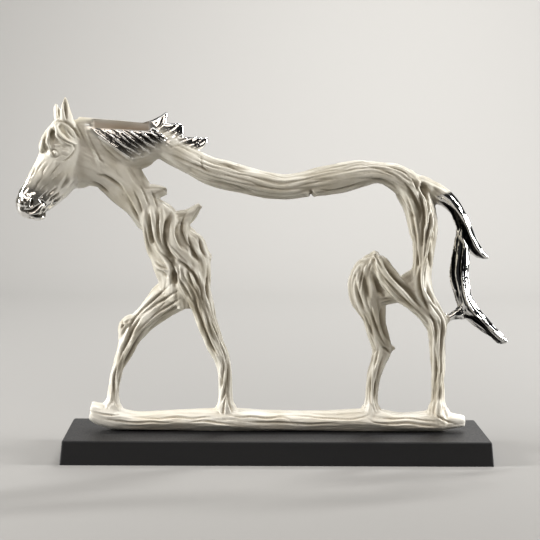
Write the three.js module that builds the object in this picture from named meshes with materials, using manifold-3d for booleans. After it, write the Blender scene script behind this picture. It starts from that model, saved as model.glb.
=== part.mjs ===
// A walking horse carved like driftwood and cast in one piece with the log it walks on,
// standing on a separate black plinth. Millimetres, +Z up, the horse faces -X.
// The origin is the centre of the plinth's underside.
import * as THREE from "three";
import { mergeVertices } from "three/addons/utils/BufferGeometryUtils.js";
import Module from "manifold-3d";

const wasm = await Module();
wasm.setup();

// Driving dimensions
const HORSE_HEIGHT = 395; // underside of the log to the tip of the near ear
const PLINTH_LENGTH = 500; // along X, at the top face
const PLINTH_DEPTH = 125; // along Y, at the top face
const PLINTH_HEIGHT = 28;
const PLINTH_DRAFT = 2.5; // how far each side leans out on its way down
const PLINTH_BEVEL = 1.2; // along the top edges
const PLINTH_CORNER = 2; // radius of the upright corners
const SEAT_GAP = 0.3; // between the log and the plinth

// The horse is drawn on a grid whose squares go 395 to its height.
const GRID_SQUARES = 395;
const GRID = HORSE_HEIGHT / GRID_SQUARES;

// A station is [x, z, y, half size in the side view, half size across it], in squares.
// x runs from the middle of the plinth, z from its top, and y is positive on the far side.
const LOG = [
  [-223, 22.5, 0, 10, 10],
  [-219, 21.8, 0, 11.3, 12],
  [-208, 17.5, 0, 13.2, 13.5],
  [-190, 13, 0, 13.4, 14.5],
  [-165, 10.8, 0, 11, 14],
  [-120, 11.5, 1, 12, 14.5],
  [-62, 12.5, -1, 13.5, 15.5],
  [0, 11.3, 0, 12.2, 14.5],
  [60, 11.5, 1, 12.3, 14.5],
  [114, 12.8, 0, 13.5, 15.5],
  [150, 10.4, 0, 10.8, 14],
  [192, 12, 0, 12.5, 14.5],
  [208, 12, 0, 9.8, 11.5],
  [223, 12, 0, 7.3, 9],
  [227, 12, 0, 6, 7.5],
];

const FAR_FORELEG = [
  [-94, 190, 3, 19, 13],
  [-112, 170, 6, 21, 14],
  [-134.5, 155.5, 7, 20, 13],
  [-151.5, 139.5, 7, 15.8, 12.5],
  [-168, 122, 7, 14.5, 11.5],
  [-177.5, 106, 6, 11.6, 10.5],
  [-183.5, 91, 5, 9, 9.5],
  [-189.8, 75, 4, 6.8, 8],
  [-193.5, 60, 3, 6.7, 7.5],
  [-195.2, 45, 3, 6.8, 7.5],
  [-196.2, 35, 3, 7.8, 8.5],
  [-197, 27, 2, 12, 11],
  [-197, 15, 1, 16, 12],
];

const FAR_KNEE = [
  [-166, 135, 6, 5, 7],
  [-177.5, 129.5, 6, 7.5, 8.5],
  [-184, 121.5, 6, 6, 8],
  [-186.5, 108, 6, 3.5, 6],
];

const NEAR_FORELEG = [
  [-108, 214, -6, 20, 9],
  [-103, 194, -8, 21, 11],
  [-97, 172, -9, 16.5, 12],
  [-90, 153, -8, 14.5, 12],
  [-85.5, 138, -8, 12.5, 11.5],
  [-80.5, 123, -7, 11.3, 11],
  [-75, 108, -5, 10.4, 10.5],
  [-69, 95, -4, 9.8, 10],
  [-64.3, 82, -3, 8.4, 9],
  [-62.2, 67, -3, 7.7, 8.5],
  [-61.6, 50, -2, 7.6, 8],
  [-61.4, 38, -2, 8.2, 9],
  [-61.4, 29, -1, 11.5, 11],
  [-61.4, 15, 0, 18, 13],
];

const CHEST = [
  [-110, 147, 0, 10, 10],
  [-111, 166, 0, 27, 14],
  [-111, 184, 0, 31, 15],
  [-115, 202, 0, 33.5, 16],
  [-122.5, 220, 0, 31.5, 16],
  [-132, 235, 0, 25.8, 16],
  [-141, 250, 0, 23.5, 16],
  [-154, 262.5, 0, 20, 16],
  [-167, 277.5, 1, 22, 16],
  [-180, 292.5, 1, 25.5, 15.5],
  [-192, 308, 0, 28, 14],
  [-208, 322, 0, 24, 11],
];

const THROAT = [
  [-161.5, 241, 0, 2.5, 3],
  [-165, 254, 0, 8, 8],
  [-170, 267, 1, 11, 11],
  [-176, 281, 1, 13, 13],
  [-186, 296, 1, 18, 15],
  [-199, 308, 0, 22, 16],
  [-214, 317, -2, 27, 16],
  [-230, 324, -3, 28, 15],
  [-242, 330, -4, 24, 12],
];

const CREST = [
  [-244, 345, -3, 23, 13],
  [-228, 344.5, -2, 26, 14],
  [-208, 341, -1, 28.5, 15],
  [-186, 338, 0, 29.5, 15.5],
  [-166, 338.5, 0, 27, 15.5],
  [-150, 342, 0, 21.5, 15],
  [-136, 341, 0, 18, 15],
  [-121, 332, 0, 16, 15],
  [-106, 323, 0, 15, 15],
];

const BACK = [
  [-146, 346, 0, 16, 13],
  [-126, 334, 0, 16, 15],
  [-106, 322.5, 0, 15.5, 15.5],
  [-84, 311.5, 0, 16.5, 16],
  [-62, 305.3, 0, 17.3, 16],
  [-40, 300.4, 0, 16, 16],
  [-18, 295, 0, 15.4, 15],
  [6, 292, 0, 14.5, 15],
  [28, 295, 0, 15, 15],
  [50, 299.5, 0, 17.3, 16],
  [74, 303.6, 0, 18, 16],
  [96, 308.5, 0, 16.2, 16],
  [118, 309.8, 0, 12.4, 15.5],
  [136, 305.5, 0, 15.5, 15],
  [151, 297, 0, 17.5, 15],
];

const NEAR_HIND_LEG = [
  [134, 307, 0, 13.5, 13],
  [151, 297, 0, 17.5, 15],
  [163, 280, -1, 18.5, 15],
  [169.5, 262, -2, 18.2, 14.5],
  [171.7, 243, -3, 17.2, 14],
  [172.5, 227, -3, 13.8, 13],
  [172, 208, -3, 11.5, 12],
  [170.5, 190, -3, 11.2, 12],
  [171.5, 173, -3, 12, 12.5],
  [175.5, 158, -3, 13, 12.5],
  [182, 145, -3, 14.5, 12],
  [188.7, 133, -2, 14.5, 11.5],
  [191.3, 120, -2, 11.2, 10.5],
  [192, 106, -2, 9.6, 9.5],
  [192.9, 88, -2, 8.6, 9],
  [193.5, 60, -2, 7.9, 8.5],
  [193.7, 40, -1, 8.1, 9],
  [193.7, 30, -1, 11, 11],
  [195, 15, 0, 18, 13],
];

const FAR_HIND_LEG = [
  [117.5, 217, 2, 2.5, 4],
  [114, 207, 3, 10, 9],
  [108, 194, 3, 17, 12.5],
  [105.5, 179, 3, 21.6, 14],
  [107.2, 164, 3, 22, 14],
  [111, 150, 3, 18.2, 13],
  [115.5, 136, 3, 14, 12],
  [118.7, 121, 3, 12.5, 11],
  [123, 109, 3, 12, 10.5],
  [126.5, 98, 3, 12, 10],
  [123, 86, 3, 10, 9.5],
  [118.8, 74, 2, 8.9, 9],
  [115.7, 60, 2, 8.1, 8.5],
  [114.6, 42, 2, 7.4, 8.5],
  [113.8, 32, 1, 9, 10],
  [113.5, 16, 0, 18, 13],
];
const HOCK = [
  [122, 97, 3, 8, 8],
  [133, 98, 3, 6, 6.5],
  [142, 100.5, 3, 1.5, 2],
];

const HIP_BEAM = [
  [114, 214, 0, 4, 6],
  [119, 204, -2, 10, 10],
  [128, 189, -4, 12.5, 12],
  [141, 173, -5, 13.8, 12],
  [156, 162, -5, 12.5, 12],
  [170, 151, -4, 12, 12],
  [183, 137, -3, 11, 11],
];
const HIP_WEB = [
  [122, 186, 2, 16, 7],
  [136, 173, 2, 13, 8],
  [147, 171, 1, 14.5, 8],
  [158, 177, 0, 15.5, 8],
  [170, 190, 0, 11, 9],
];
const GROIN_WEB = [
  [112, 162, 3, 8, 10],
  [125, 163.5, 2, 11.2, 11],
  [138, 166.3, 0, 11.5, 11],
  [152, 168, -2, 12, 10],
];

const TAIL = [
  [154, 299, 0, 9, 9],
  [171, 295, 0, 10.2, 10],
  [190, 284.5, 0, 10.5, 9],
  [200.5, 278, 0, 8.5, 8],
  [209.5, 268.3, 0, 7.4, 7.5],
  [216, 256.3, 0, 7.4, 7],
  [221.2, 244.2, 0, 7.8, 7],
  [227.5, 231, 0, 7.3, 6.5],
  [235.5, 219.5, 0, 6.2, 5.5],
  [243.5, 212.6, 0, 3.6, 4],
  [251, 209, 0, 0.8, 1],
];
const TAIL_END = [
  [216.5, 250, 1, 3, 4],
  [217, 236, 1, 5, 6],
  [218.5, 222, 1, 8.4, 7],
  [216.8, 205, 0, 10, 8],
  [216.6, 190, 0, 10.3, 8.5],
  [218.6, 175, 0, 9.5, 8.5],
  [221.5, 162, 0, 8.6, 8.5],
  [227, 150, 0, 9.3, 8.5],
  [236.5, 139.5, 0, 8.6, 8],
  [247.8, 129.7, 0, 7.1, 7],
  [258.8, 119.8, 0, 5.8, 6],
  [268.3, 111.5, 0, 4.8, 5],
  [276, 108.5, 0, 1.6, 2],
];
const TAIL_LINK = [
  [190, 137, -1, 12, 10],
  [199.5, 136, 0, 8.3, 7.5],
  [206.5, 138.4, 0, 4.2, 5],
  [212.5, 140.5, 0, 6, 6],
  [221, 144, 0, 9, 7.5],
];

// Stubs and spikes that stand out behind the neck and the shoulder like snapped branches
const STUBS = [
  [[-160, 283, 0, 12, 12], [-148, 285.3, 0, 8.2, 10], [-139, 285.8, 0, 6.4, 8],
    [-132, 285.5, 0, 4.4, 6]],
  [[-138, 243, 0, 18, 13], [-122, 249.5, 0, 13.5, 11], [-110.5, 254.5, 0, 9.5, 8.5],
    [-102, 260.5, 0, 6.2, 6.5], [-96, 266.5, 0, 4.4, 5], [-92, 270.5, 0, 2.6, 3]],
  [[-106, 236, -2, 5, 8], [-98, 226, -2, 11, 10], [-91, 210, -3, 9.5, 10],
    [-88, 190, -5, 8, 10]],
  [[-92, 216, -3, 7, 7], [-84.5, 209, -3, 6.6, 6.5], [-78.5, 207.5, -3, 4.4, 4.5]],
];

// The head is drawn as it shows, then turned to the near side about the upright line of the poll.
const HEAD_TURN = THREE.MathUtils.degToRad(18);
const POLL_X = -240;
const HEAD = [
  [-236, 360, 0, 14, 12],
  [-243, 347, 0, 25, 17.5],
  [-249, 331, 0, 30, 19.5],
  [-255, 316, 0, 29.5, 18.5],
  [-263, 303, 0, 27.5, 16],
  [-271.5, 292, 0, 25.5, 13.5],
  [-280, 281.5, 0, 22.5, 12],
  [-287, 272.5, 0, 20, 12.5],
  [-291, 264, 0, 16.5, 12],
  [-292.5, 257.5, 0, 10.5, 9.5],
  [-293, 254, 0, 5, 6],
];
const NEAR_EAR = [
  [-250, 354, -11, 9, 7],
  [-252, 367, -11.5, 8.6, 6],
  [-253.2, 378, -12.5, 6.4, 4.6],
  [-254.2, 387, -13.5, 3.8, 2.8],
  [-254.8, 395, -14, 0.7, 0.7],
];
const FAR_EAR = [
  [-249.5, 354, 11, 8, 6.5],
  [-253.8, 366, 11.5, 6.6, 5.6],
  [-256.2, 375, 12.5, 5.2, 4.2],
  [-257.8, 382, 13.5, 3.4, 2.8],
  [-258.6, 387.5, 14, 0.8, 0.7],
];
// Bony lumps of the head: [x, z, y, half length, half height, half width]
const HEAD_LUMPS = [
  [-236, 315, 0, 25, 27, 18.5], // cheeks
  [-267, 329, 0, 9, 6.5, 18.5], // brows
  [-264, 320, 0, 6.5, 5.5, 18.5], // eyeballs
  [-297, 273, 0, 9.5, 9, 13], // nostrils' rims
  [-282, 258, 0, 9, 6.5, 10], // chin
];
const NOSTRIL = [-299, 273, 12.5, 3.2, 4.6, 3.4];
const EAR_HOLLOW = [-252.6, 377, -18, 2.6, 9.5, 3.6];
const MOUTH = [-294, 260.5, 0, 13, 1.3, 16];

// Locks of the forelock, on the head before it is turned
const FORELOCK = [
  [[-248, 366, 0, 6, 8], [-262, 359, -3, 6.5, 8], [-272, 347.5, -6, 6.2, 6.5],
    [-277.3, 339, -7, 5, 5.2], [-279.5, 330, -7.5, 1.5, 2]],
  [[-246, 364, -8, 6, 6], [-256, 352, -15, 6, 5], [-261, 339, -18, 4, 3.5],
    [-260, 331, -18.5, 1, 1.2]],
  [[-248, 366, 6, 6, 8], [-262, 358, 9, 6, 7], [-270, 346, 13, 4.5, 5],
    [-274, 335, 14, 1, 1.5]],
];

// Locks of the mane. Each falls from the crest over the side of the neck, down and back.
const MANE_LOCKS = 6;
const FIRST_ROOT = [-216, 367];
const LAST_ROOT = [-157, 361];
const FIRST_TIP = [-167, 327];
const LAST_TIP = [-132, 346];
const MANE_BAND = [
  [-236, 366, 0, 6, 7],
  [-215, 364.5, 0, 6, 11],
  [-190, 362, 0, 6.5, 14],
  [-166, 360, 0, 6.5, 14],
  [-146, 359, 0, 6, 11],
];
const MANE_SPIKES = [
  [[-157, 357, 0, 9, 9], [-146, 362, 0, 8, 8], [-138.5, 368.5, 0, 5.6, 6],
    [-134.5, 374, 0, 2.8, 3.5], [-132.5, 378.5, 0, 0.8, 0.8]],
  [[-150, 352, 0, 10, 10], [-137, 356, 0, 10.5, 8.5], [-125, 357.5, 0, 8.2, 7.5],
    [-117, 358.3, 0, 7.2, 6.5], [-112.5, 359, 0, 5, 5]],
  [[-138, 342, 0, 8, 10], [-120, 342.3, 0, 7.6, 9], [-105, 342.5, 0, 7, 7.5],
    [-94, 342.8, 0, 6.6, 6], [-87.5, 346, 0, 3.6, 4], [-84, 348.5, 0, 0.9, 0.9]],
];

// Strands that lie over the chest and flow into the forelegs
const CHEST_STRANDS = [
  [[-157, 256, 0, 5, 4], [-154.5, 236, 0, 5, 4.5], [-150, 214, 0, 5, 4.5],
    [-138, 198, 0, 5, 4.5], [-124, 190, 0, 3, 3]],
  [[-149, 260, 0, 5, 4.5], [-145, 240, 0, 5, 5], [-140, 220, 0, 5, 5],
    [-128, 206, 0, 5, 5], [-119, 192, 0, 3, 3]],
  [[-138, 261, 0, 5, 4.5], [-136, 242, 0, 5, 5], [-131, 222, 0, 5, 5],
    [-118, 208, 0, 5, 5], [-100, 196, 0, 4, 4]],
  [[-124, 254, 0, 5, 4.5], [-125, 240, 0, 5, 5], [-119, 222, 0, 5, 5],
    [-104, 206, 0, 5, 5], [-90, 188, 0, 5, 5], [-88, 164, 0, 4, 4]],
  [[-110, 252, 0, 4, 4], [-111, 240, 0, 5, 4.5], [-104, 222, 0, 5, 4.5],
    [-92, 206, 0, 5, 4.5], [-84, 188, 0, 4, 4]],
  [[-114, 200, 0, 4, 4], [-116, 184, 0, 5, 5], [-108, 166, 0, 5, 5],
    [-98, 150, 0, 4, 4]],
];
const FAR_STRANDS = [1, 3]; // those that the far side has too

const SIDEWAYS = new THREE.Vector3(0, 1, 0);
const LEAST_SIZE = 0.5; // no stroke gets thinner than this, in squares
const CUT_SHARE = 0.6; // how much of a flute's depth is cut, where the rest stands up
const LEAST_RISE = 0.06; // how flat a strand may lie at the outline of the stroke under it
const LAYING_STEPS = 50;
const SINK = 0.2; // share of a strand's half size that is sunk in the surface
const SEAT_CUT = [600, 200, 60]; // what is cut off flat under the log, in squares
const CORNER_STEPS = 3;

// The centreline of a stroke, and its two half sizes, as smooth curves through the stations
function curvesOf(stations) {
  const points = stations.map(([x, z, y]) => new THREE.Vector3(x, y, z));
  const sizes = stations.map(([, , , inView, across]) => new THREE.Vector3(inView, across, 0));
  return {
    path: new THREE.CatmullRomCurve3(points, false, "centripetal"),
    sizes: new THREE.CatmullRomCurve3(sizes, false, "centripetal"),
  };
}

// A closed stroke through its stations. Its section is an oval with flutes between ridges,
// and the ridges turn about the centreline as they run.
function stroke(stations, { ridges = 4, steps = 6, groove = 0, turns = 0 } = {}) {
  const { path, sizes } = curvesOf(stations);
  const sides = 2 * ridges;
  const geometry = new THREE.CylinderGeometry(1, 1, 1, sides, steps);
  const vertices = geometry.attributes.position;
  for (let i = 0; i < vertices.count; i++) {
    const share = 0.5 - vertices.getY(i);
    const radius = Math.hypot(vertices.getX(i), vertices.getZ(i));
    const angle = Math.atan2(vertices.getZ(i), vertices.getX(i));
    const isGroove = Math.abs(Math.round((angle / Math.PI) * ridges)) % 2 === 1;
    const reach = radius * (1 + groove * (isGroove ? -CUT_SHARE : 1 - CUT_SHARE));
    const turned = angle + 2 * Math.PI * turns * share;
    const tangent = path.getTangent(share);
    const inView = new THREE.Vector3().crossVectors(SIDEWAYS, tangent).normalize();
    const across = new THREE.Vector3().crossVectors(tangent, inView);
    const size = sizes.getPoint(share);
    const point = path.getPoint(share);
    point.addScaledVector(inView, reach * Math.cos(turned) * Math.max(size.x, LEAST_SIZE));
    point.addScaledVector(across, reach * Math.sin(turned) * Math.max(size.y, LEAST_SIZE));
    vertices.setXYZ(i, point.x, point.y, point.z);
  }
  return geometry;
}

// An egg with half sizes along X, Z and Y, leaning by an angle in the side view
function lump([x, z, y, length, height, width], lean = 0, around = 8, down = 6) {
  return new THREE.SphereGeometry(1, around, down)
    .rotateX(Math.PI / 2)
    .scale(length, width, height)
    .rotateY(lean)
    .translate(x, y, z);
}

// Turns the head's parts, and lengthens them so that they keep their outline in the side view
function turnedHead(geometry) {
  return geometry
    .translate(-POLL_X, 0, 0)
    .scale(1 / Math.cos(HEAD_TURN), 1, 1)
    .rotateZ(HEAD_TURN)
    .translate(POLL_X, 0, 0);
}

// A closed geometry as a solid that can be joined and cut
function solid(geometry) {
  const bare = geometry.clone();
  bare.deleteAttribute("normal");
  bare.deleteAttribute("uv");
  const merged = mergeVertices(bare, 1e-4);
  return new wasm.Manifold(
    new wasm.Mesh({
      numProp: 3,
      vertProperties: merged.attributes.position.array,
      triVerts: new Uint32Array(merged.index.array),
    }),
  );
}

function geometryOf(manifold) {
  const mesh = manifold.getMesh();
  return new THREE.BufferGeometry()
    .setAttribute("position", new THREE.BufferAttribute(new Float32Array(mesh.vertProperties), 3))
    .setIndex(new THREE.BufferAttribute(new Uint32Array(mesh.triVerts), 1));
}

// Lays a strand drawn in the side view on the surface of the stroke under it
function laidOn(under, stations, side) {
  const { path, sizes } = curvesOf(under);
  return stations.map(([x, z, , inView, across]) => {
    let nearest = 0;
    let least = Infinity;
    for (let i = 0; i <= LAYING_STEPS; i++) {
      const point = path.getPoint(i / LAYING_STEPS);
      const away = Math.hypot(point.x - x, point.z - z);
      if (away < least) {
        least = away;
        nearest = i / LAYING_STEPS;
      }
    }
    const size = sizes.getPoint(nearest);
    const rise = Math.sqrt(Math.max(LEAST_RISE, 1 - (least / size.x) ** 2));
    return [x, z, side * (size.y * rise - SINK * across), inView, across];
  });
}

function log() {
  return [stroke(LOG, { ridges: 5, steps: 14, groove: 0.12, turns: 0.35 })];
}

function legs() {
  return [
    stroke(FAR_FORELEG, { ridges: 5, steps: 15, groove: 0.16, turns: 0.25 }),
    stroke(FAR_KNEE, { ridges: 3, steps: 4 }),
    stroke(NEAR_FORELEG, { ridges: 5, steps: 16, groove: 0.16, turns: -0.3 }),
    stroke(NEAR_HIND_LEG, { ridges: 5, steps: 20, groove: 0.16, turns: 0.35 }),
    stroke(FAR_HIND_LEG, { ridges: 5, steps: 18, groove: 0.16, turns: -0.25 }),
    stroke(HIP_BEAM, { ridges: 4, steps: 8, groove: 0.14, turns: 0.15 }),
    stroke(HIP_WEB, { ridges: 3, steps: 4 }),
    stroke(GROIN_WEB, { ridges: 4, steps: 3 }),
    stroke(HOCK, { ridges: 3, steps: 2 }),
  ];
}

function trunk() {
  const near = CHEST_STRANDS.map((s) => laidOn(CHEST, s, -1));
  const far = FAR_STRANDS.map((i) => laidOn(CHEST, CHEST_STRANDS[i], 1));
  return [
    stroke(CHEST, { ridges: 6, steps: 10, groove: 0.08, turns: 0.1 }),
    stroke(THROAT, { ridges: 5, steps: 7 }),
    stroke(CREST, { ridges: 5, steps: 7 }),
    stroke(BACK, { ridges: 6, steps: 15, groove: 0.09, turns: 0.3 }),
    ...STUBS.map((s) => stroke(s, { ridges: 3, steps: 5, groove: 0.08 })),
    ...[...near, ...far].map((s) => stroke(s, { ridges: 3, steps: 5 })),
  ];
}

function tail() {
  return [
    stroke(TAIL, { ridges: 4, steps: 11, groove: 0.16, turns: 0.2 }),
    stroke(TAIL_END, { ridges: 4, steps: 12, groove: 0.16, turns: 0.3 }),
    stroke(TAIL_LINK, { ridges: 4, steps: 5, groove: 0.1 }),
  ];
}

function head() {
  const parts = [
    stroke(HEAD, { ridges: 6, steps: 12 }),
    stroke(NEAR_EAR, { ridges: 3, steps: 4 }),
    stroke(FAR_EAR, { ridges: 3, steps: 4 }),
    ...FORELOCK.map((s) => stroke(s, { ridges: 3, steps: 5 })),
    ...HEAD_LUMPS.map((l) => lump(l, 0, 8, 6)),
  ];
  const [x, z, y, ...halves] = NOSTRIL;
  const hollows = [
    lump([x, z, -y, ...halves], 0.4, 8, 5),
    lump([x, z, y, ...halves], 0.4, 8, 5),
    lump(MOUTH, -0.5, 10, 4),
    lump(EAR_HOLLOW, 0, 8, 5),
  ];
  return joined(parts.map(turnedHead)).subtract(joined(hollows.map(turnedHead)));
}

function mane() {
  const locks = [];
  for (let i = 0; i < MANE_LOCKS; i++) {
    const share = i / (MANE_LOCKS - 1);
    const between = (first, last) => first.map((v, axis) => v + (last[axis] - v) * share);
    const root = between(FIRST_ROOT, LAST_ROOT);
    const tip = between(FIRST_TIP, LAST_TIP);
    const at = (s) => root.map((v, axis) => v + (tip[axis] - v) * s);
    for (const side of [-1, 1]) {
      locks.push([
        [...at(0), side * 10, 5, 5],
        [...at(0.35), side * 14, 6, 4.5],
        [...at(0.7), side * 15, 5, 4],
        [...at(1), side * 15, 1, 1.5],
      ]);
    }
  }
  return [
    stroke(MANE_BAND, { ridges: 4, steps: 6 }),
    ...locks.map((s) => stroke(s, { ridges: 3, steps: 4 })),
    ...MANE_SPIKES.map((s) => stroke(s, { ridges: 4, steps: 5, groove: 0.12 })),
  ];
}

function joined(geometries) {
  return wasm.Manifold.union(geometries.map(solid));
}

function horse() {
  const body = joined([...log(), ...legs(), ...trunk(), ...tail(), ...mane()]);
  const foot = new THREE.BoxGeometry(...SEAT_CUT).translate(0, 0, -SEAT_CUT[2] / 2);
  return geometryOf(body.add(head()).subtract(solid(foot)))
    .scale(GRID, GRID, GRID)
    .translate(0, 0, PLINTH_HEIGHT + SEAT_GAP);
}

// A rectangle with round corners at one level, grown outwards by a margin
function plinthLevel(z, margin) {
  const halfLength = PLINTH_LENGTH / 2 + margin;
  const halfDepth = PLINTH_DEPTH / 2 + margin;
  const ring = [];
  for (let corner = 0; corner < 4; corner++) {
    const signX = corner === 0 || corner === 3 ? 1 : -1;
    const signY = corner < 2 ? 1 : -1;
    for (let i = 0; i <= CORNER_STEPS; i++) {
      const angle = ((corner + i / CORNER_STEPS) * Math.PI) / 2;
      const x = signX * (halfLength - PLINTH_CORNER) + PLINTH_CORNER * Math.cos(angle);
      const y = signY * (halfDepth - PLINTH_CORNER) + PLINTH_CORNER * Math.sin(angle);
      ring.push(x, y, z);
    }
  }
  return ring;
}

function plinth() {
  const levels = [
    plinthLevel(0, PLINTH_DRAFT),
    plinthLevel(PLINTH_HEIGHT - PLINTH_BEVEL, 0),
    plinthLevel(PLINTH_HEIGHT, -PLINTH_BEVEL),
  ];
  const around = levels[0].length / 3;
  const positions = [...levels.flat(), 0, 0, 0, 0, 0, PLINTH_HEIGHT];
  const below = around * levels.length;
  const above = below + 1;
  const triangles = [];
  for (let i = 0; i < around; i++) {
    const next = (i + 1) % around;
    for (let level = 0; level + 1 < levels.length; level++) {
      const low = level * around;
      const high = low + around;
      triangles.push(low + i, low + next, high + next);
      triangles.push(low + i, high + next, high + i);
    }
    const top = around * (levels.length - 1);
    triangles.push(below, next, i);
    triangles.push(above, top + i, top + next);
  }
  return new THREE.BufferGeometry()
    .setAttribute("position", new THREE.Float32BufferAttribute(positions, 3))
    .setIndex(triangles);
}

const cream = new THREE.MeshStandardMaterial({ color: 0xe3dcc8, roughness: 0.45, metalness: 0 });
const black = new THREE.MeshStandardMaterial({ color: 0x141416, roughness: 0.5, metalness: 0 });

const sculpture = new THREE.Group();
for (const [name, geometry, material] of [
  ["plinth", plinth(), black],
  ["horse", horse(), cream],
]) {
  const mesh = new THREE.Mesh(geometry, material);
  mesh.name = name;
  sculpture.add(mesh);
}

export default sculpture;
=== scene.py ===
import math
import bpy
import numpy as np
from mathutils import Matrix, Vector


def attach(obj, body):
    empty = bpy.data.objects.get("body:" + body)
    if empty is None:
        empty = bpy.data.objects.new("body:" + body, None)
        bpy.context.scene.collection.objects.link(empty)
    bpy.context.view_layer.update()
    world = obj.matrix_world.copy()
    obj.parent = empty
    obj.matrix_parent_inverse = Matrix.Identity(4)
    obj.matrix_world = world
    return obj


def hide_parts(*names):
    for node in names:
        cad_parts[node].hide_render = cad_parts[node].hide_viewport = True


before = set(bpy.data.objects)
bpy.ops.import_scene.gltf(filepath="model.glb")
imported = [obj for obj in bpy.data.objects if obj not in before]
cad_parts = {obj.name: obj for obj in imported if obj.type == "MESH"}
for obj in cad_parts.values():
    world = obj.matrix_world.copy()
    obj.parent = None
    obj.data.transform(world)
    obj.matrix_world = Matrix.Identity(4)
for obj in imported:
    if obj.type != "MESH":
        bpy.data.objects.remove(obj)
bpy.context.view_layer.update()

# A walking horse, carved like driftwood and cast in one piece with the log it walks on, on a black plinth.
# Sizes are millimetres, and the horse is drawn on a grid of 395 squares from the plinth's top to its ears.
MM = 0.001
PLINTH_HEIGHT = 28
SEAT_GAP = 0.3
HORSE_HEIGHT = 395
GRID_SQUARES = 395
GRID = HORSE_HEIGHT / GRID_SQUARES
BASE_Z = PLINTH_HEIGHT + SEAT_GAP

# The camera looks along +Y, a little to the right and down, from the photograph's place.
CAMERA_AT = (-51.7, -1654.3, 398.2)
CAMERA_YAW_PITCH_ROLL = (1.461, 6.088, -0.564)
CAMERA_LENS = 93.33
CAMERA_SENSOR = 36

# The two sides of the horse along y. From here to the colours, sizes are in squares.
NEAR = -1
FAR = 1

# The union of the limbs
VOXEL = 1.0
BLEND_FACTOR = 0.5
BLEND_ROUNDS = 5
MOST_TRIANGLES = 190000
SIDES = 32
ROW_STEP = 2.5
LEAST_ROWS = 12
THINNEST = 0.5
LUMP_RINGS = 17

# The head is turned about the poll, and its far side is mirrored from the near side's drawing
HEAD_TURN = math.radians(18)
HEAD_STRETCH = 1 / math.cos(HEAD_TURN)
POLL_X = -240
CHEEK_SHIFT = 3

# Strands laid on the chest
UNDER_ROWS = 60
STRAND_SINK = 0.25
STRAND_LEAST_RISE = 0.06
STRAND_POINT = 8
STRAND_POINT_HALF = 1.2
STRAND_START = 0.8

# The mane's locks hang from a row of roots, and grooves part them
MANE_LOCKS = 10
FIRST_ROOT = (-221, 361)
LAST_ROOT = (-150, 357)
FIRST_TIP = (-172, 325)
LAST_TIP = (-130, 346)
LOCK_REACH = 0.94
LOCK_REACH_CHANGE = 0.06
LOCK_WAVES = (-1.2, 1.6)
LOCK_LINE_WIDTH = 1.5
LOCK_LINE_DEPTH = 1.6
LOCK_LINE_STOPS = (0.1, 0.4, 0.7, 1.02)
LOCK_LINE_UNEVEN = {"drift": (0.4, 4.1), "bend": (2.2, 2.3), "depth": (0.5, 1.7)}

# The mane's crest is a smooth flat band that leans back
BAND_X = (-222, -148)
BAND_Z = 362
BAND_SLOPE = -0.045
BAND_HALF = 5.5
BAND_MARGIN = 2
BAND_FADE = 2.5
BAND_END = 6
BAND_Y = 12
BAND_LEAN = 0.5
BAND_CORE = 3

# Grain: broad and fine grooves of a (length, sharpness, depth) that run along each limb
BROAD_GRAIN = (100, 0.17, 1.5)
FINE_GRAIN = (55, 0.2, 0.9)
SWELL_HEIGHT = 0.9
GRAIN_REACH = 1.2
GRAIN_FARTHEST = 30
GRAIN_MARGIN = 6
END_SLACK = 4
LEAST_WEIGHT = 1e-4
TINY = 1e-6
SEED_STEP = 31
CHUNK = 20000
WANDER = 0.7
WANDER_SIZE = 14
WANDER_BEAT = 1.7
WANDER_SEED = 9
HASH = (374761393, 668265263, 1440662683, 974711)
HASH_MIX = 1274126177
NOISE_SCALE = 1.4

# Carved lines have raised rims and run out at their ends
CUT_RIM = 0.3
CUT_WIDTH = 0.8
CUT_DEPTH = 1.0
FINE_CUT_DEPTH = 0.75
CUT_MARGIN = 3
CUT_STEPS = 10
CUT_TAPER = 0.6
CUT_END_WIDTH = 0.45
CUT_END = 0.03
FACING_START = 0.25
FACING_SPAN = 0.5

# The muzzle's plating fades in above the lips, and half plates the skin a little higher
MUZZLE_BACK_X = -235
MUZZLE_LOW_Z = 240
MUZZLE_PLATING = 0.86
LIPS = (-274, 292)
LIPS_UP = (0.40, 0.92)
LIPS_START = 0.15
LIPS_FADE = 16
CHIN_PLATING = 0.42
CHIN_TOP_Z = 306
CHIN_FADE = 9
FOLD_SIZE = (6, 6, 8)
FOLD_DEPTH = 1.1
FOLD_SEED = 77

# The tail's plating starts along a slanting line below the rump
PLATING_FADE = 0.06
PLATED = 0.3
ROOT_AT = (184, 281)
ROOT_RUN = (23, 9)
ROOT_RUN_LENGTH = 24.7
ROOT_FADE = 3
ROOT_LEAST_X = 150
ROOT_LEAST_Z = 230

# The underside stays flat, and hollows get the resin's toning and painted shade by their depth
FOOT_Z = 0.4
FOOT_FADE = 3
CAVITY_FROM = 0.2
CAVITY_SPAN = 2.6

# Colours
RESIN_PALE = (0.80, 0.768, 0.672, 1)
# The two groove colours are partly the resin's toning and partly painted shade
RESIN_SHALLOW_TONE_AND_SHADE = (0.55, 0.51, 0.42, 1)
RESIN_GROOVE_TONE_AND_SHADE = (0.27, 0.235, 0.17, 1)
RESIN_CLOUD = (0.78, 0.755, 0.70, 1)
# A pale colour screened over the resin towards the bottom
LOW_PALE_COLOUR = (0.48, 0.41, 0.31, 1)
CHROME = (0.86, 0.85, 0.83, 1)
# A painted brown reflection on the mane's plated band
BAND_REFLECTION_BROWN = (0.15, 0.11, 0.075, 1)
# Painted shade: near black in the chrome's grooves
CHROME_GROOVE_SHADE = (0.02, 0.019, 0.018, 1)
PLINTH_BLACK = (0.006, 0.006, 0.007, 1)
WALL_PAINT = (0.31, 0.302, 0.288, 1)
WHITE = (1, 1, 1, 1)

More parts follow.
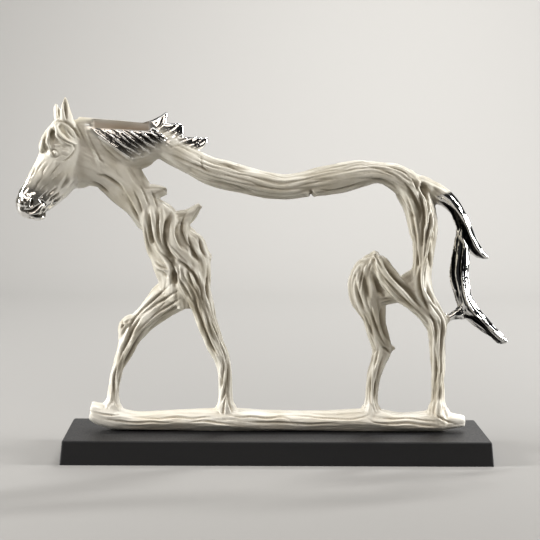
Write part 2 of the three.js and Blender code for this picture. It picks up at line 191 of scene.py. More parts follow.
# Finishes: scales of the noise, and ranges of its effect, with heights and bumps in metres
NOISE_RANGE = (0.3, 0.7)
CLOUD_SCALE = 28
CLOUD_STOPS = (0.35, 0.6)
MIDDLE_STOP = 0.4
LOW_PALE_Z = (0.085, 0.045)
RESIN_GRIT = 520
RESIN_ROUGHNESS = (0.36, 0.52)
RESIN_BUMP = (0.35, 0.0004)
CHROME_SHADE_RANGE = (0.06, 0.45)
CHROME_RIPPLE = 160
CHROME_DETAIL = 2
CHROME_ROUGHNESS = (0.03, 0.08)
CHROME_BUMP = (0.2, 0.0004)
DULL_ROUGHNESS = 0.4
PLINTH_GRIT = 420
PLINTH_ROUGHNESS = (0.42, 0.55)
PLINTH_BUMP = (0.15, 0.0003)
WALL_ROUGHNESS = 0.9

# The studio, in metres: a pale floor that sweeps up into the wall behind
FLOOR_FRONT = -0.45
SWEEP_START = 1.5
SWEEP_RADIUS = 0.8
SWEEP_STEPS = 24
WALL_HALF = 1.8
WALL_TOP = 2.2
ROOM_COLOUR = (0.95, 0.97, 1, 1)
ROOM_STRENGTH = 0.02

# Each light's name, place, the place it points at, its width and height, its watts, and its tint if any
LIGHTS = [
    ("left", (-1.9, -0.25, 0.85), (-0.1, 0, 0.2), (0.5, 1), 54),
    ("right", (2, -0.05, 0.8), (0.1, 0, 0.2), (0.55, 1.5), 68),
    ("top", (0.1, -0.12, 1.4), (0, 0, 0.1), (1.2, 0.3), 2.5),
    ("ceiling", (-0.4, -1.5, 1.6), (-0.1, 0, 0.25), (2, 0.9), 13, (1, 0.9, 0.8)),
    ("wall_light", (0.6, 1.2, 2.1), (0.2, 2.3, 0.8), (1, 0.4), 75),
]

# A station is [x, z, y, half size in the side view, half size across it].
# x runs from the middle of the plinth, z from its top, and y is positive on the far side.
LOG = [
    [-223, 22.5, 0, 10, 10], [-219, 21.8, 0, 11.3, 12], [-208, 17.5, 0, 13.2, 13.5],
    [-190, 13, 0, 13.4, 14.5], [-165, 10.8, 0, 11, 14], [-120, 11.5, 1, 12, 14.5],
    [-62, 12.5, -1, 13.5, 15.5], [0, 11.3, 0, 12.2, 14.5], [60, 11.5, 1, 12.3, 14.5],
    [114, 12.8, 0, 13.5, 15.5], [150, 10.4, 0, 10.8, 14], [192, 12, 0, 12.5, 14.5],
    [208, 12, 0, 9.8, 11.5], [223, 12, 0, 7.3, 9], [227, 12, 0, 6, 7.5],
]
FAR_FORELEG = [
    [-94, 190, 3, 19, 13], [-112, 170, 6, 21, 14], [-134.5, 155.5, 7, 20, 13],
    [-151.5, 139.5, 7, 15.8, 12.5], [-168, 122, 7, 14.5, 11.5], [-177.5, 106, 6, 11.6, 10.5],
    [-183.5, 91, 5, 9, 9.5], [-189.8, 75, 4, 6.8, 8], [-193.5, 60, 3, 6.7, 7.5],
    [-195.2, 45, 3, 6.8, 7.5], [-196.2, 35, 3, 7.8, 8.5], [-197, 27, 2, 12, 11], [-197, 15, 1, 16, 12],
]
FAR_KNEE = [
    [-166, 135, 6, 5, 7], [-177.5, 129.5, 6, 7.5, 8.5], [-184, 121.5, 6, 6, 8],
    [-186.5, 108, 6, 3.5, 6],
]
NEAR_FORELEG = [
    [-108, 214, -6, 20, 9], [-103, 194, -8, 21, 11], [-97, 172, -9, 16.5, 12], [-90, 153, -8, 14.5, 12],
    [-85.5, 138, -8, 12.5, 11.5], [-80.5, 123, -7, 11.3, 11], [-75, 108, -5, 10.4, 10.5],
    [-69, 95, -4, 9.8, 10], [-64.3, 82, -3, 8.4, 9], [-62.2, 67, -3, 7.7, 8.5], [-61.6, 50, -2, 7.6, 8],
    [-61.4, 38, -2, 8.2, 9], [-61.4, 29, -1, 11.5, 11], [-61.4, 15, 0, 18, 13],
]
CHEST = [
    [-110, 147, 0, 10, 10], [-111, 166, 0, 27, 14], [-111, 184, 0, 31, 15], [-115, 202, 0, 33.5, 16],
    [-122.5, 220, 0, 31.5, 16], [-132, 235, 0, 25.8, 16], [-141, 250, 0, 23.5, 16],
    [-154, 262.5, 0, 20, 16], [-167, 277.5, 1, 22, 16], [-180, 292.5, 1, 25.5, 15.5],
    [-192, 308, 0, 28, 14], [-208, 322, 0, 24, 11],
]
THROAT = [
    [-161.5, 241, 0, 2.5, 3], [-165, 254, 0, 8, 8], [-170, 267, 1, 11, 11], [-176, 281, 1, 13, 13],
    [-186, 296, 1, 18, 15], [-199, 308, 0, 22, 16], [-214, 317, -2, 27, 16], [-230, 324, -3, 28, 15],
    [-242, 330, -4, 24, 12],
]
CREST = [
    [-244, 345, -3, 23, 13], [-228, 344.5, -2, 26, 14], [-208, 341, -1, 28.5, 15],
    [-186, 338, 0, 29.5, 15.5], [-166, 338.5, 0, 27, 15.5], [-150, 342, 0, 21.5, 15],
    [-136, 341, 0, 18, 15], [-121, 332, 0, 16, 15], [-106, 323, 0, 15, 15],
]
BACK = [
    [-146, 346, 0, 16, 13], [-126, 334, 0, 16, 15], [-106, 322.5, 0, 15.5, 15.5],
    [-84, 311.5, 0, 16.5, 16], [-62, 305.3, 0, 17.3, 16], [-40, 300.4, 0, 16, 16],
    [-18, 295, 0, 15.4, 15], [6, 292, 0, 14.5, 15], [28, 295, 0, 15, 15], [50, 299.5, 0, 17.3, 16],
    [74, 303.6, 0, 18, 16], [96, 308.5, 0, 16.2, 16], [118, 309.8, 0, 12.4, 15.5],
    [136, 305.5, 0, 15.5, 15], [151, 297, 0, 17.5, 15],
]
NEAR_HIND_LEG = [
    [134, 307, 0, 13.5, 13], [151, 297, 0, 17.5, 15], [163, 280, -1, 18.5, 15],
    [169.5, 262, -2, 18.2, 14.5], [171.7, 243, -3, 17.2, 14], [172.5, 227, -3, 13.8, 13],
    [172, 208, -3, 11.5, 12], [170.5, 190, -3, 11.2, 12], [171.5, 173, -3, 12, 12.5],
    [175.5, 158, -3, 13, 12.5], [182, 145, -3, 14.5, 12], [188.7, 133, -2, 14.5, 11.5],
    [191.3, 120, -2, 11.2, 10.5], [192, 106, -2, 9.6, 9.5], [192.9, 88, -2, 8.6, 9],
    [193.5, 60, -2, 7.9, 8.5], [193.7, 40, -1, 8.1, 9], [193.7, 30, -1, 11, 11], [195, 15, 0, 18, 13],
]
FAR_HIND_LEG = [
    [117.5, 217, 2, 2.5, 4], [114, 207, 3, 10, 9], [108, 194, 3, 17, 12.5], [105.5, 179, 3, 21.6, 14],
    [107.2, 164, 3, 22, 14], [111, 150, 3, 18.2, 13], [115.5, 136, 3, 14, 12],
    [118.7, 121, 3, 12.5, 11], [123, 109, 3, 12, 10.5], [126.5, 98, 3, 12, 10], [123, 86, 3, 10, 9.5],
    [118.8, 74, 2, 8.9, 9], [115.7, 60, 2, 8.1, 8.5], [114.6, 42, 2, 7.4, 8.5], [113.8, 32, 1, 9, 10],
    [113.5, 16, 0, 18, 13],
]
HOCK = [
    [122, 97, 3, 8, 8], [133, 98, 3, 6, 6.5], [142, 100.5, 3, 1.5, 2],
]
HIP_BEAM = [
    [114, 214, 0, 4, 6], [119, 204, -2, 10, 10], [128, 189, -4, 12.5, 12], [141, 173, -5, 13.8, 12],
    [156, 162, -5, 12.5, 12], [170, 151, -4, 12, 12], [183, 137, -3, 11, 11],
]
HIP_WEB = [
    [122, 186, 2, 16, 7], [136, 173, 2, 13, 8], [147, 171, 1, 14.5, 8], [158, 177, 0, 15.5, 8],
    [170, 190, 0, 11, 9],
]
GROIN_WEB = [
    [112, 162, 3, 8, 10], [125, 163.5, 2, 11.2, 11], [138, 166.3, 0, 11.5, 11], [152, 168, -2, 12, 10],
]
TAIL = [
    [154, 299, 0, 9, 9], [171, 295, 0, 10.2, 10], [190, 284.5, 0, 10.5, 9], [200.5, 278, 0, 8.5, 8],
    [209.5, 268.3, 0, 7.4, 7.5], [216, 256.3, 0, 7.4, 7], [221.2, 244.2, 0, 7.8, 7],
    [227.5, 231, 0, 7.3, 6.5], [235.5, 219.5, 0, 6.2, 5.5], [243.5, 212.6, 0, 3.6, 4],
    [251, 209, 0, 0.8, 1],
]
TAIL_END = [
    [216.5, 250, 1, 3, 4], [217, 236, 1, 5, 6], [218.5, 222, 1, 8.4, 7], [216.8, 205, 0, 10, 8],
    [216.6, 190, 0, 10.3, 8.5], [218.6, 175, 0, 9.5, 8.5], [221.5, 162, 0, 8.6, 8.5],
    [227, 150, 0, 9.3, 8.5], [236.5, 139.5, 0, 8.6, 8], [247.8, 129.7, 0, 7.1, 7],
    [258.8, 119.8, 0, 5.8, 6], [268.3, 111.5, 0, 4.8, 5], [276, 108.5, 0, 1.6, 2],
]
TAIL_LINK = [
    [190, 137, -1, 12, 10], [199.5, 136, 0, 8.3, 7.5], [206.5, 138.4, 0, 4.2, 5],
    [212.5, 140.5, 0, 6, 6], [221, 144, 0, 9, 7.5],
]
STUBS = [
    [[-160, 283, 0, 12, 12], [-148, 285.3, 0, 8.2, 10], [-139, 285.8, 0, 6.4, 8],
     [-132, 285.5, 0, 4.4, 6]],
    [[-138, 243, 0, 18, 13], [-122, 249.5, 0, 13.5, 11], [-110.5, 254.5, 0, 9.5, 8.5],
     [-102, 260.5, 0, 6.2, 6.5], [-96, 266.5, 0, 4.4, 5], [-92, 270.5, 0, 2.6, 3]],
    [[-106, 236, -2, 5, 8], [-98, 226, -2, 11, 10], [-91, 210, -3, 9.5, 10],
     [-88, 190, -5, 8, 10]],
    [[-92, 216, -3, 7, 7], [-84.5, 209, -3, 6.6, 6.5], [-78.5, 207.5, -3, 4.4, 4.5]],
]
HEAD = [
    [-236, 360, 0, 14, 12], [-243, 347, 0, 25, 17.5], [-249, 331, 0, 30, 19.5],
    [-255, 316, 0, 29.5, 18.5], [-263, 303, 0, 27.5, 16], [-271.5, 292, 0, 25.5, 13.5],
    [-280, 281.5, 0, 22.5, 12], [-287, 272.5, 0, 20, 12.5], [-291, 264, 0, 16.5, 12],
    [-292.5, 257.5, 0, 10.5, 9.5], [-293, 254, 0, 5, 6],
]
NEAR_EAR = [
    [-250, 354, -11, 9, 7], [-252, 367, -11.5, 8.6, 6], [-253.2, 378, -12.5, 6.4, 4.6],
    [-254.2, 387, -13.5, 3.8, 2.8], [-254.8, 395, -14, 0.7, 0.7],
]
NEAR_EAR_BACK = [
    [-246, 358, -10, 5, 5], [-247.5, 370, -11, 3.6, 4], [-250, 380, -12, 2.6, 3],
    [-252, 389, -13, 1.6, 2], [-253.5, 395, -13.5, 0.7, 0.7],
]
FAR_EAR = [
    [-249.5, 354, 11, 8, 6.5], [-253.8, 366, 11.5, 6.6, 5.6], [-256.2, 375, 12.5, 5.2, 4.2],
    [-257.8, 382, 13.5, 3.4, 2.8], [-258.6, 387.5, 14, 0.8, 0.7],
]
# A lump is [x, z, y, half length, half height, half width].
HEAD_LUMPS = [
    [-236, 315, 0, 25, 27, 18.5],  # cheeks
    [-267, 329, 0, 9, 6.5, 18.5],  # brows
    [-264, 320, 0, 6.5, 5.5, 18.5],  # eyeballs
    [-297, 273, 0, 9.5, 9, 13],  # nostrils' rims
    [-282, 258, 0, 9, 6.5, 10],  # chin
]
FORELOCK = [
    [[-248, 366, 0, 6, 8], [-262, 359, -3, 6.5, 8], [-272, 347.5, -6, 6, 6.5],
     [-277.3, 339, -7, 4.6, 5.2], [-279.5, 330, -7.5, 1.5, 2]],
    [[-257, 367, -8, 5, 5], [-264, 361, -12, 4, 4.5], [-261.5, 352, -16, 3.6, 4],
     [-255.5, 345, -17.8, 3.4, 3.5], [-247, 341, -18, 2.8, 3], [-240.5, 341.5, -17, 1, 1.2]],
    [[-248, 366, 6, 6, 8], [-262, 358, 9, 6, 7], [-270, 346, 13, 4.5, 5],
     [-274, 335, 14, 1, 1.5]],
    [[-262, 366, -7, 4, 4], [-269, 356, -10.5, 2.8, 3.5], [-272.5, 346, -12.5, 2.4, 3],
     [-270.5, 335, -14.5, 0.8, 1]],
]
MANE_BAND = [
    [-236, 366, 0, 6, 7], [-215, 364.5, 0, 6, 11], [-190, 362, 0, 6.5, 14], [-166, 360, 0, 6.5, 14],
    [-146, 359, 0, 6, 11],
]
MANE_SPIKES = [
    [[-157, 357, 0, 9, 9], [-146, 362, 0, 8, 8], [-138.5, 368.5, 0, 5.6, 6],
     [-134.5, 374, 0, 2.8, 3.5], [-132.5, 378.5, 0, 0.8, 0.8]],
    [[-150, 352, 0, 10, 10], [-137, 356, 0, 10.5, 8.5], [-125, 357.5, 0, 8.2, 7.5],
     [-117, 358.3, 0, 7.2, 6.5], [-112.5, 359, 0, 5, 5]],
    [[-138, 342, 0, 8, 10], [-120, 342.3, 0, 7.6, 9], [-105, 342.5, 0, 7, 7.5],
     [-94, 342.8, 0, 6.6, 6], [-87.5, 346, 0, 3.6, 4], [-84, 348.5, 0, 0.9, 0.9]],
]
CHEST_STRANDS = [
    [[-157, 256, 0, 5, 4], [-154.5, 236, 0, 5, 4.5], [-150, 214, 0, 5, 4.5],
     [-138, 198, 0, 5, 4.5], [-124, 190, 0, 3, 3]],
    [[-149, 260, 0, 5, 4.5], [-145, 240, 0, 5, 5], [-140, 220, 0, 5, 5],
     [-128, 206, 0, 5, 5], [-119, 192, 0, 3, 3]],
    [[-138, 261, 0, 5, 4.5], [-136, 242, 0, 5, 5], [-131, 222, 0, 5, 5],
     [-118, 208, 0, 5, 5], [-100, 196, 0, 4, 4]],
    [[-124, 254, 0, 5, 4.5], [-125, 240, 0, 5, 5], [-119, 222, 0, 5, 5],
     [-104, 206, 0, 5, 5], [-90, 188, 0, 5, 5], [-88, 164, 0, 4, 4]],
    [[-110, 252, 0, 4, 4], [-111, 240, 0, 5, 4.5], [-104, 222, 0, 5, 4.5],
     [-92, 206, 0, 5, 4.5], [-84, 188, 0, 4, 4]],
    [[-114, 200, 0, 4, 4], [-116, 184, 0, 5, 5], [-108, 166, 0, 5, 5],
     [-98, 150, 0, 4, 4]],
]
# A mane lock's stations: share of the way to its tip, distance from the middle, and the two half sizes
LOCK_PROFILE = [(0, 9, 2.5, 4), (0.25, 12.6, 3.5, 4.6), (0.6, 14.8, 3.3, 4.2), (1, 15, 0.8, 1.2)]

# Lines cut (+) or raised (-) in the near side: (half width, depth, then x and z of the points),
# on the middle plane as the camera sees it.
CHEST_LINES = [
    (2.6, 3, -153, 262, -152.5, 245, -149, 228, -142, 217),
    (3.6, 4.2, -128, 260, -133, 245, -134, 228, -130, 213, -124, 205, -121, 194),
    (2.2, 2.6, -117, 252, -121, 238, -117, 225, -111, 216),
    (2, 2.4, -109, 262, -114, 250, -115, 238, -110, 225, -103, 216, -96, 208),
    (3.2, 4, -106, 234, -104, 224, -100, 213, -94, 203),
    (1.8, 2.4, -94, 230, -91, 218, -86, 208),
    (2, 2.4, -141, 262, -143, 246, -141, 230, -136, 218),
    (2.6, 3.4, -141, 215, -132, 207, -126, 199, -124, 188, -126, 178),
    (2, 2.2, -147, 203, -139, 197, -130, 194),
    (1.8, 2, -144, 193, -136, 189, -130, 183),
    (2.4, 3.4, -122, 206, -112, 200, -103, 192, -96, 182, -91, 170, -89, 158),
    (1.8, 2.2, -118, 197, -117, 183, -111, 172, -104, 160, -97, 150),
    (1.8, 2.2, -109, 195, -104, 180, -97, 168, -93, 157),
    (4, 4.5, -122, 191, -123, 183, -122, 174),
    (1.8, 2, -84, 198, -83, 184, -84, 168, -82, 154),
    (1.6, 1.8, -158, 250, -156, 234, -153, 220),
]
FORELEG_LINES = [
    (2.6, 3.2, -100, 158, -97, 147, -92, 134, -87, 120, -81, 107, -75, 96),
    (1.8, 2.2, -88, 152, -84, 136, -80, 121, -76, 110),
    (2.4, 3, -84, 112, -79, 101, -72, 91),
    (1.8, 2.4, -67, 90, -64, 77, -65, 63, -67, 50),
    (1.6, 2.2, -62, 62, -63, 46, -66, 33),
    (1.4, 1.6, -60, 96, -58.5, 80, -58, 64, -58, 46),
    (2, 2.2, -118, 168, -131, 160, -143, 152, -155, 142),
    (2, 2.4, -126, 177, -140, 164, -153, 152, -166, 140, -173, 129, -177, 116),
    (1.8, 2, -116, 158, -127, 151.5, -139, 144, -150, 135),
    (1.8, 1.8, -118, 149.5, -126, 145, -138, 137.5),
    (2.8, 3.4, -163, 136, -172, 122, -179, 107, -184, 96, -190, 82),
    (2, 2.6, -158, 121, -167, 108, -174, 95, -181, 82, -184, 70),
    (1.8, 2.2, -190, 84, -193.5, 70, -195, 55, -194, 42),
    (1.6, 2.4, -186, 72, -188.5, 56, -188, 38),
    (1.6, -1.6, -186, 127, -181, 128, -176, 124),
    (1.6, 2, -187, 133, -184, 127, -186, 121),
]
RUMP_LINES = [
    (2.6, 3.4, 158, 303, 163, 294, 168, 282, 172, 268, 173, 254, 172, 240, 171, 224),
    (4.2, 8.5, 169.5, 297, 172.5, 289.5, 176, 281),
    (1.6, 2.6, 174, 282, 177, 272, 178, 260),
    (3, 3.6, 150, 297, 158, 286, 164, 275, 168, 264, 168, 252),
    (2.2, 2.4, 152, 281, 156, 268, 159, 254, 163, 238, 165, 224),
    (2.2, 4.2, 180, 264, 180, 250, 178, 238, 176, 228),
    (1.8, 3, 186, 264, 186, 250, 184, 238, 183, 226),
    (1.6, 2.4, 181, 226, 180.5, 212, 182, 196),
    (3, 5.2, 170, 198, 168, 186, 169, 174, 173, 163, 178, 153, 182, 146),
    (1.8, 2.4, 177, 180, 180, 168, 186, 157, 192, 149),
    (1.6, 2, 165, 218, 166, 205, 168, 196),
    (2.2, 3, 123, 210, 129, 199, 136, 189, 144, 180, 153, 171, 162, 161, 171, 151),
    (1.8, 2.2, 112, 212, 114, 201, 119, 190),
    (1.8, 2.4, 117, 212, 121, 203, 127, 193),
    (3, 3.2, 141, 184, 150, 177, 159, 169, 167, 159),
    (2, 2.4, 122, 190, 132, 180, 142, 170, 152, 160, 161, 151),
    (6, 3.6, 98, 196, 102, 184, 106, 172, 109, 160),
    (3, 3, 110, 196, 117, 181, 122, 169, 129, 160),
    (2, 2.2, 92, 188, 94, 172, 98, 158, 104, 145),
    (1.8, 2.2, 125, 152, 124, 138, 128, 122, 134, 110),
    (1.8, 2.2, 112, 152, 114, 138, 119, 124, 125, 111, 131, 102),
    (1.6, 2, 104, 142, 110, 126, 116, 112),
    (1.8, 2.6, 126, 101, 132, 98, 137, 93),
    (1.6, 2, 121, 100, 119, 87, 116, 74),
    (1.6, 2, 127, 91, 123, 78, 120, 64),
    (1.6, 2.2, 113, 70, 112, 57, 112, 44),
    (1.6, 2.4, 119, 62, 118, 49, 117, 36),
    (2.2, 3, 182, 143, 187, 133, 190, 122, 191, 108),
    (1.8, 2.4, 196, 136, 198, 124, 197, 110, 197, 96),
    (1.6, 2.2, 189, 102, 191, 85, 192, 70, 190, 55),
    (1.6, 2.6, 197, 56, 196, 45, 196, 36),
    (1.6, 2, 197, 88, 197, 74, 196, 64),
    (1.6, 1.8, 188, 50, 187, 36),
]
BACK_LINES = [
    (1.8, 1.5, -132, 331, -112, 323, -92, 314, -78, 308),
    (1.6, 1.5, -92, 330, -91, 318, -86, 311, -70, 306, -50, 303),
    (1.6, 1.4, -80, 322, -62, 317, -48, 311, -38, 309),
    (1.6, 1.4, -62, 296, -42, 290, -24, 284),
    (2.6, 5, 38, 279, 38.5, 284, 38, 288),
    (1.4, 1.2, 40, 292, 60, 288, 80, 292, 96, 298),
    (1.6, 1.6, 98, 319, 120, 314, 136, 308, 151, 299),
    (1.6, 1.4, 90, 302, 110, 303, 126, 300, 141, 291),
    (1.4, 1.2, 128, 318, 146, 312, 158, 302),
    (1.3, 1, -20, 302, 0, 298, 24, 300, 46, 306),
    (1.3, 1, -34, 296, -12, 291, 10, 289),
    (1.3, 1, -120, 341, -104, 333, -90, 326),
]
NECK_LINES = [
    (2, 2.4, -214, 305, -205, 303.5, -196, 299, -188, 293, -182, 286),
    (1.8, 2.2, -222, 297, -213, 293, -206, 288, -201, 284),
    (1.8, 1.8, -180, 282, -173, 269, -167, 256, -163, 245),
    (1.8, 1.8, -172, 287, -165, 273, -160, 258),
    (1.6, 1.6, -163, 292, -157, 279, -153, 266),
    (1.6, 1.8, -151, 287, -146, 277, -143, 266),
    (1.6, 1, -227, 358, -221, 342, -211, 324, -204, 314),
    (1.5, 1, -216, 353, -207, 339, -196, 328, -184, 318),
    (1.5, 0.9, -196, 336, -184, 326, -172, 318),
    (2, -1.2, -230, 362, -224, 345, -215, 326, -212, 310),
    (1.5, 1.6, -137, 290, -133, 288, -132, 283),
]
HEAD_LINES = [
    (1.2, 1.2, -273, 322, -280, 315, -285, 307),
    (1.1, 1.1, -270, 318, -277, 309, -278, 302),
    (1.1, 1.3, -257, 318, -264, 310, -270, 301),
    (1.1, 1, -254, 309, -262, 302, -269, 296),
    (2.6, 1.6, -249, 305, -252, 296, -259, 287),
    (2.2, 1.2, -240, 297, -248, 289),
    (1.2, 1.9, -239, 336, -244, 328, -251, 322, -257, 320),
    (1.4, 2.1, -262, 358, -258, 349, -250, 343, -242, 339.5, -239.5, 334),
    (3, 3.6, -265, 361, -266, 352, -265.5, 344),
    (1.6, 2.6, -272, 356, -275.5, 346, -275.5, 337, -273, 330),
    (1.1, 2.2, -269, 330, -266, 333.5, -261.5, 333, -258, 329.5),
    (0.9, 1.3, -267.5, 327.5, -264.5, 325, -261, 325, -258, 327.5),
    (2, 3.4, -266, 332, -265.4, 328.5, -264, 325.5),
    (0.9, -1.6, -262.6, 330.5, -262, 328),
    (0.9, 1.1, -257, 333.5, -251, 333.5, -246, 331),
    (0.9, 1.1, -256, 328, -251, 327, -247, 327.5),
    (1, 1.2, -262, 337.5, -255, 337, -249, 334.5),
    (1.6, -1.8, -268, 340, -261, 339, -254, 336),
    (4, -1.2, -256, 334, -250, 332, -247, 330),
    (1.1, 1.4, -255, 357, -250, 350, -245, 345),
    (1, 1.4, -250, 358, -245, 351, -239, 346),
    (1.4, 2.4, -247, 363, -241, 358, -237, 351, -233, 346),
    (1.2, 1.8, -239, 365, -235, 357, -231, 350, -228, 343),
    (2, 2.2, -262, 367.5, -254, 366.5, -246, 362.5, -240, 357),
    (1.6, 3.4, -251.5, 390, -251, 380, -249.5, 368),
    (1.7, 3.4, -259.5, 385, -258.5, 377, -257.5, 369),
    (2, 3.6, -299.5, 276, -299, 273.5, -298, 271.5),
    (1.3, -1.6, -303, 280, -305, 273, -301, 267.5, -296.5, 268),
    (1.4, -1.4, -297, 281, -294, 276, -294, 271),
    (1.5, 2.2, -291, 281, -290.5, 273, -293.5, 266),
    (2.2, 3.6, -301, 262.5, -292, 261, -285, 265, -278, 272),
    (2.4, 3.4, -293, 256, -284, 255, -275, 258, -271, 264),
    (1.5, 2.8, -289.5, 276, -290.5, 271, -292.5, 266),
    (1.2, 2, -284, 277, -278, 272, -274, 269),
    (1.2, 2.2, -303.5, 280, -303, 272, -299, 265),
    (1, 1.6, -292, 300, -288, 308, -285, 316),
    (1.6, -1.4, -297, 258, -288, 257.5, -281, 262),
    (1.5, 2, -276, 256, -279, 261, -274, 265.5),
    (1.3, 2.2, -273, 279, -262, 289),
    (1.3, 2.2, -271, 274, -258, 284),
    (1.3, 2, -266, 271, -253, 281),
    (1.1, 1.2, -284, 281, -278, 289, -270, 294),
    (1.1, 1.2, -288, 286, -284, 294, -279, 300),
    (1.1, 1.3, -284, 274, -276, 281, -270, 287),
]
MANE_LINES = [
    (1.7, 1.5, -147, 353, -135, 356, -125, 360, -119, 367),
    (1.7, 1.5, -144, 348, -132, 351, -121, 356, -114, 363),
    (1.7, 1.3, -134, 346, -124, 349, -115, 356),
    (1.6, 1.5, -145, 359, -139, 364, -135.5, 374),
    (1.8, 1.6, -132, 337, -119, 340, -106, 344, -96, 350),
    (1.8, 1.6, -120, 336, -109, 340, -98, 344, -89, 350),
    (1.8, 1.5, -109, 335, -100, 339, -92, 343, -85, 348),
    (1.6, 1.3, -126, 343, -114, 346, -104, 350),
]
LOG_LINES = [
    (1.4, 1.8, -208, 12, -190, 10, -170, 8, -150, 9, -135, 8, -120, 10),
    (1.3, 1.6, -172, 15, -158, 14, -140, 13, -120, 15, -100, 13, -85, 15, -72, 12),
    (1.4, 1.8, -106, 8, -95, 10, -82, 10, -70, 8, -55, 6, -38, 5),
    (1.4, 1.8, -60, 19, -45, 15, -30, 16, -10, 14, 5, 16, 15, 13, 20, 8),
    (1.3, 1.8, -58, 12, -40, 10, -20, 9, 0, 9, 20, 8, 40, 7, 60, 8, 80, 7, 100, 8),
    (1.3, 1.6, 8, 17, 28, 17, 50, 15, 70, 14, 90, 13, 104, 16, 113, 20),
    (1.6, 2.2, 111, 14, 120, 9, 140, 8, 160, 9, 180, 6, 202, 4),
    (1.3, 1.6, 124, 15, 140, 14, 160, 15, 180, 12, 196, 10),
    (1.4, 1.8, 184, 25, 194, 18, 204, 12, 216, 8),
    (1.3, 1.4, -222, 22, -208, 18, -196, 17, -184, 18),
]
TAIL_LINES = [
    (3.2, 2.4, 188, 277, 199, 271.5, 208, 261, 213, 249, 218, 237),
    (3.4, 2.6, 204, 271, 214, 258, 221, 243, 227, 230, 234, 219, 243, 210),
    (2.2, 2.2, 211, 226, 208.5, 209, 208, 192, 212, 176, 217, 162),
    (1.3, 1.6, 221, 224, 223, 205, 223, 186, 226, 168),
    (1, 1.2, 216, 218, 216.5, 200, 217, 184),
    (3, 2.6, 222, 140, 234, 136.5, 245, 129, 255, 118, 266, 109),
    (0.9, 1.4, 230, 152, 243, 138, 256, 124, 267, 113),
    (1, 1, 210, 276, 220, 262, 229, 247),
]


def catmull(stations, count):
    """Smooth curve through the stations, evenly stepped by station, with its ends carried on."""
    p = np.array(stations, float)
    p = np.vstack([2 * p[0] - p[1], p, 2 * p[-1] - p[-2]])
    t = np.linspace(0, len(stations) - 1, count)
    i = np.minimum(t.astype(int), len(stations) - 2)
    f = (t - i)[:, None]
    a, b, c, d = p[i], p[i + 1], p[i + 2], p[i + 3]
    square = 2 * a - 5 * b + 4 * c - d
    cube = 3 * b - a - 3 * c + d
    curve = 0.5 * (2 * b + (c - a) * f + square * f**2 + cube * f**3)
    curve[:, 3:5] = np.maximum(curve[:, 3:5], THINNEST)
    return curve


def turned_vectors(vectors):
    """Vectors turned with the head, about the upright axis."""
    c, s = math.cos(HEAD_TURN), math.sin(HEAD_TURN)
    out = vectors.copy()
    out[:, 0] = vectors[:, 0] * c - vectors[:, 1] * s
    out[:, 1] = vectors[:, 0] * s + vectors[:, 1] * c
    return out


def turned_places(places):
    """Places turned about the poll, lengthened first so that the side view stays."""
    out = places.copy()
    out[:, 0] = (places[:, 0] - POLL_X) * HEAD_STRETCH
    out = turned_vectors(out)
    out[:, 0] += POLL_X
    return out


def tube_faces(rings, sides):
    """Faces of a tube of rings, closed by fans to the two end points that follow the rings."""
    faces = []
    for i in range(rings - 1):
        for k in range(sides):
            n = (k + 1) % sides
            faces.append((i * sides + k, i * sides + n, (i + 1) * sides + n, (i + 1) * sides + k))
    for k in range(sides):
        n = (k + 1) % sides
        faces.append((rings * sides, n, k))
        faces.append((rings * sides + 1, (rings - 1) * sides + k, (rings - 1) * sides + n))
    return faces


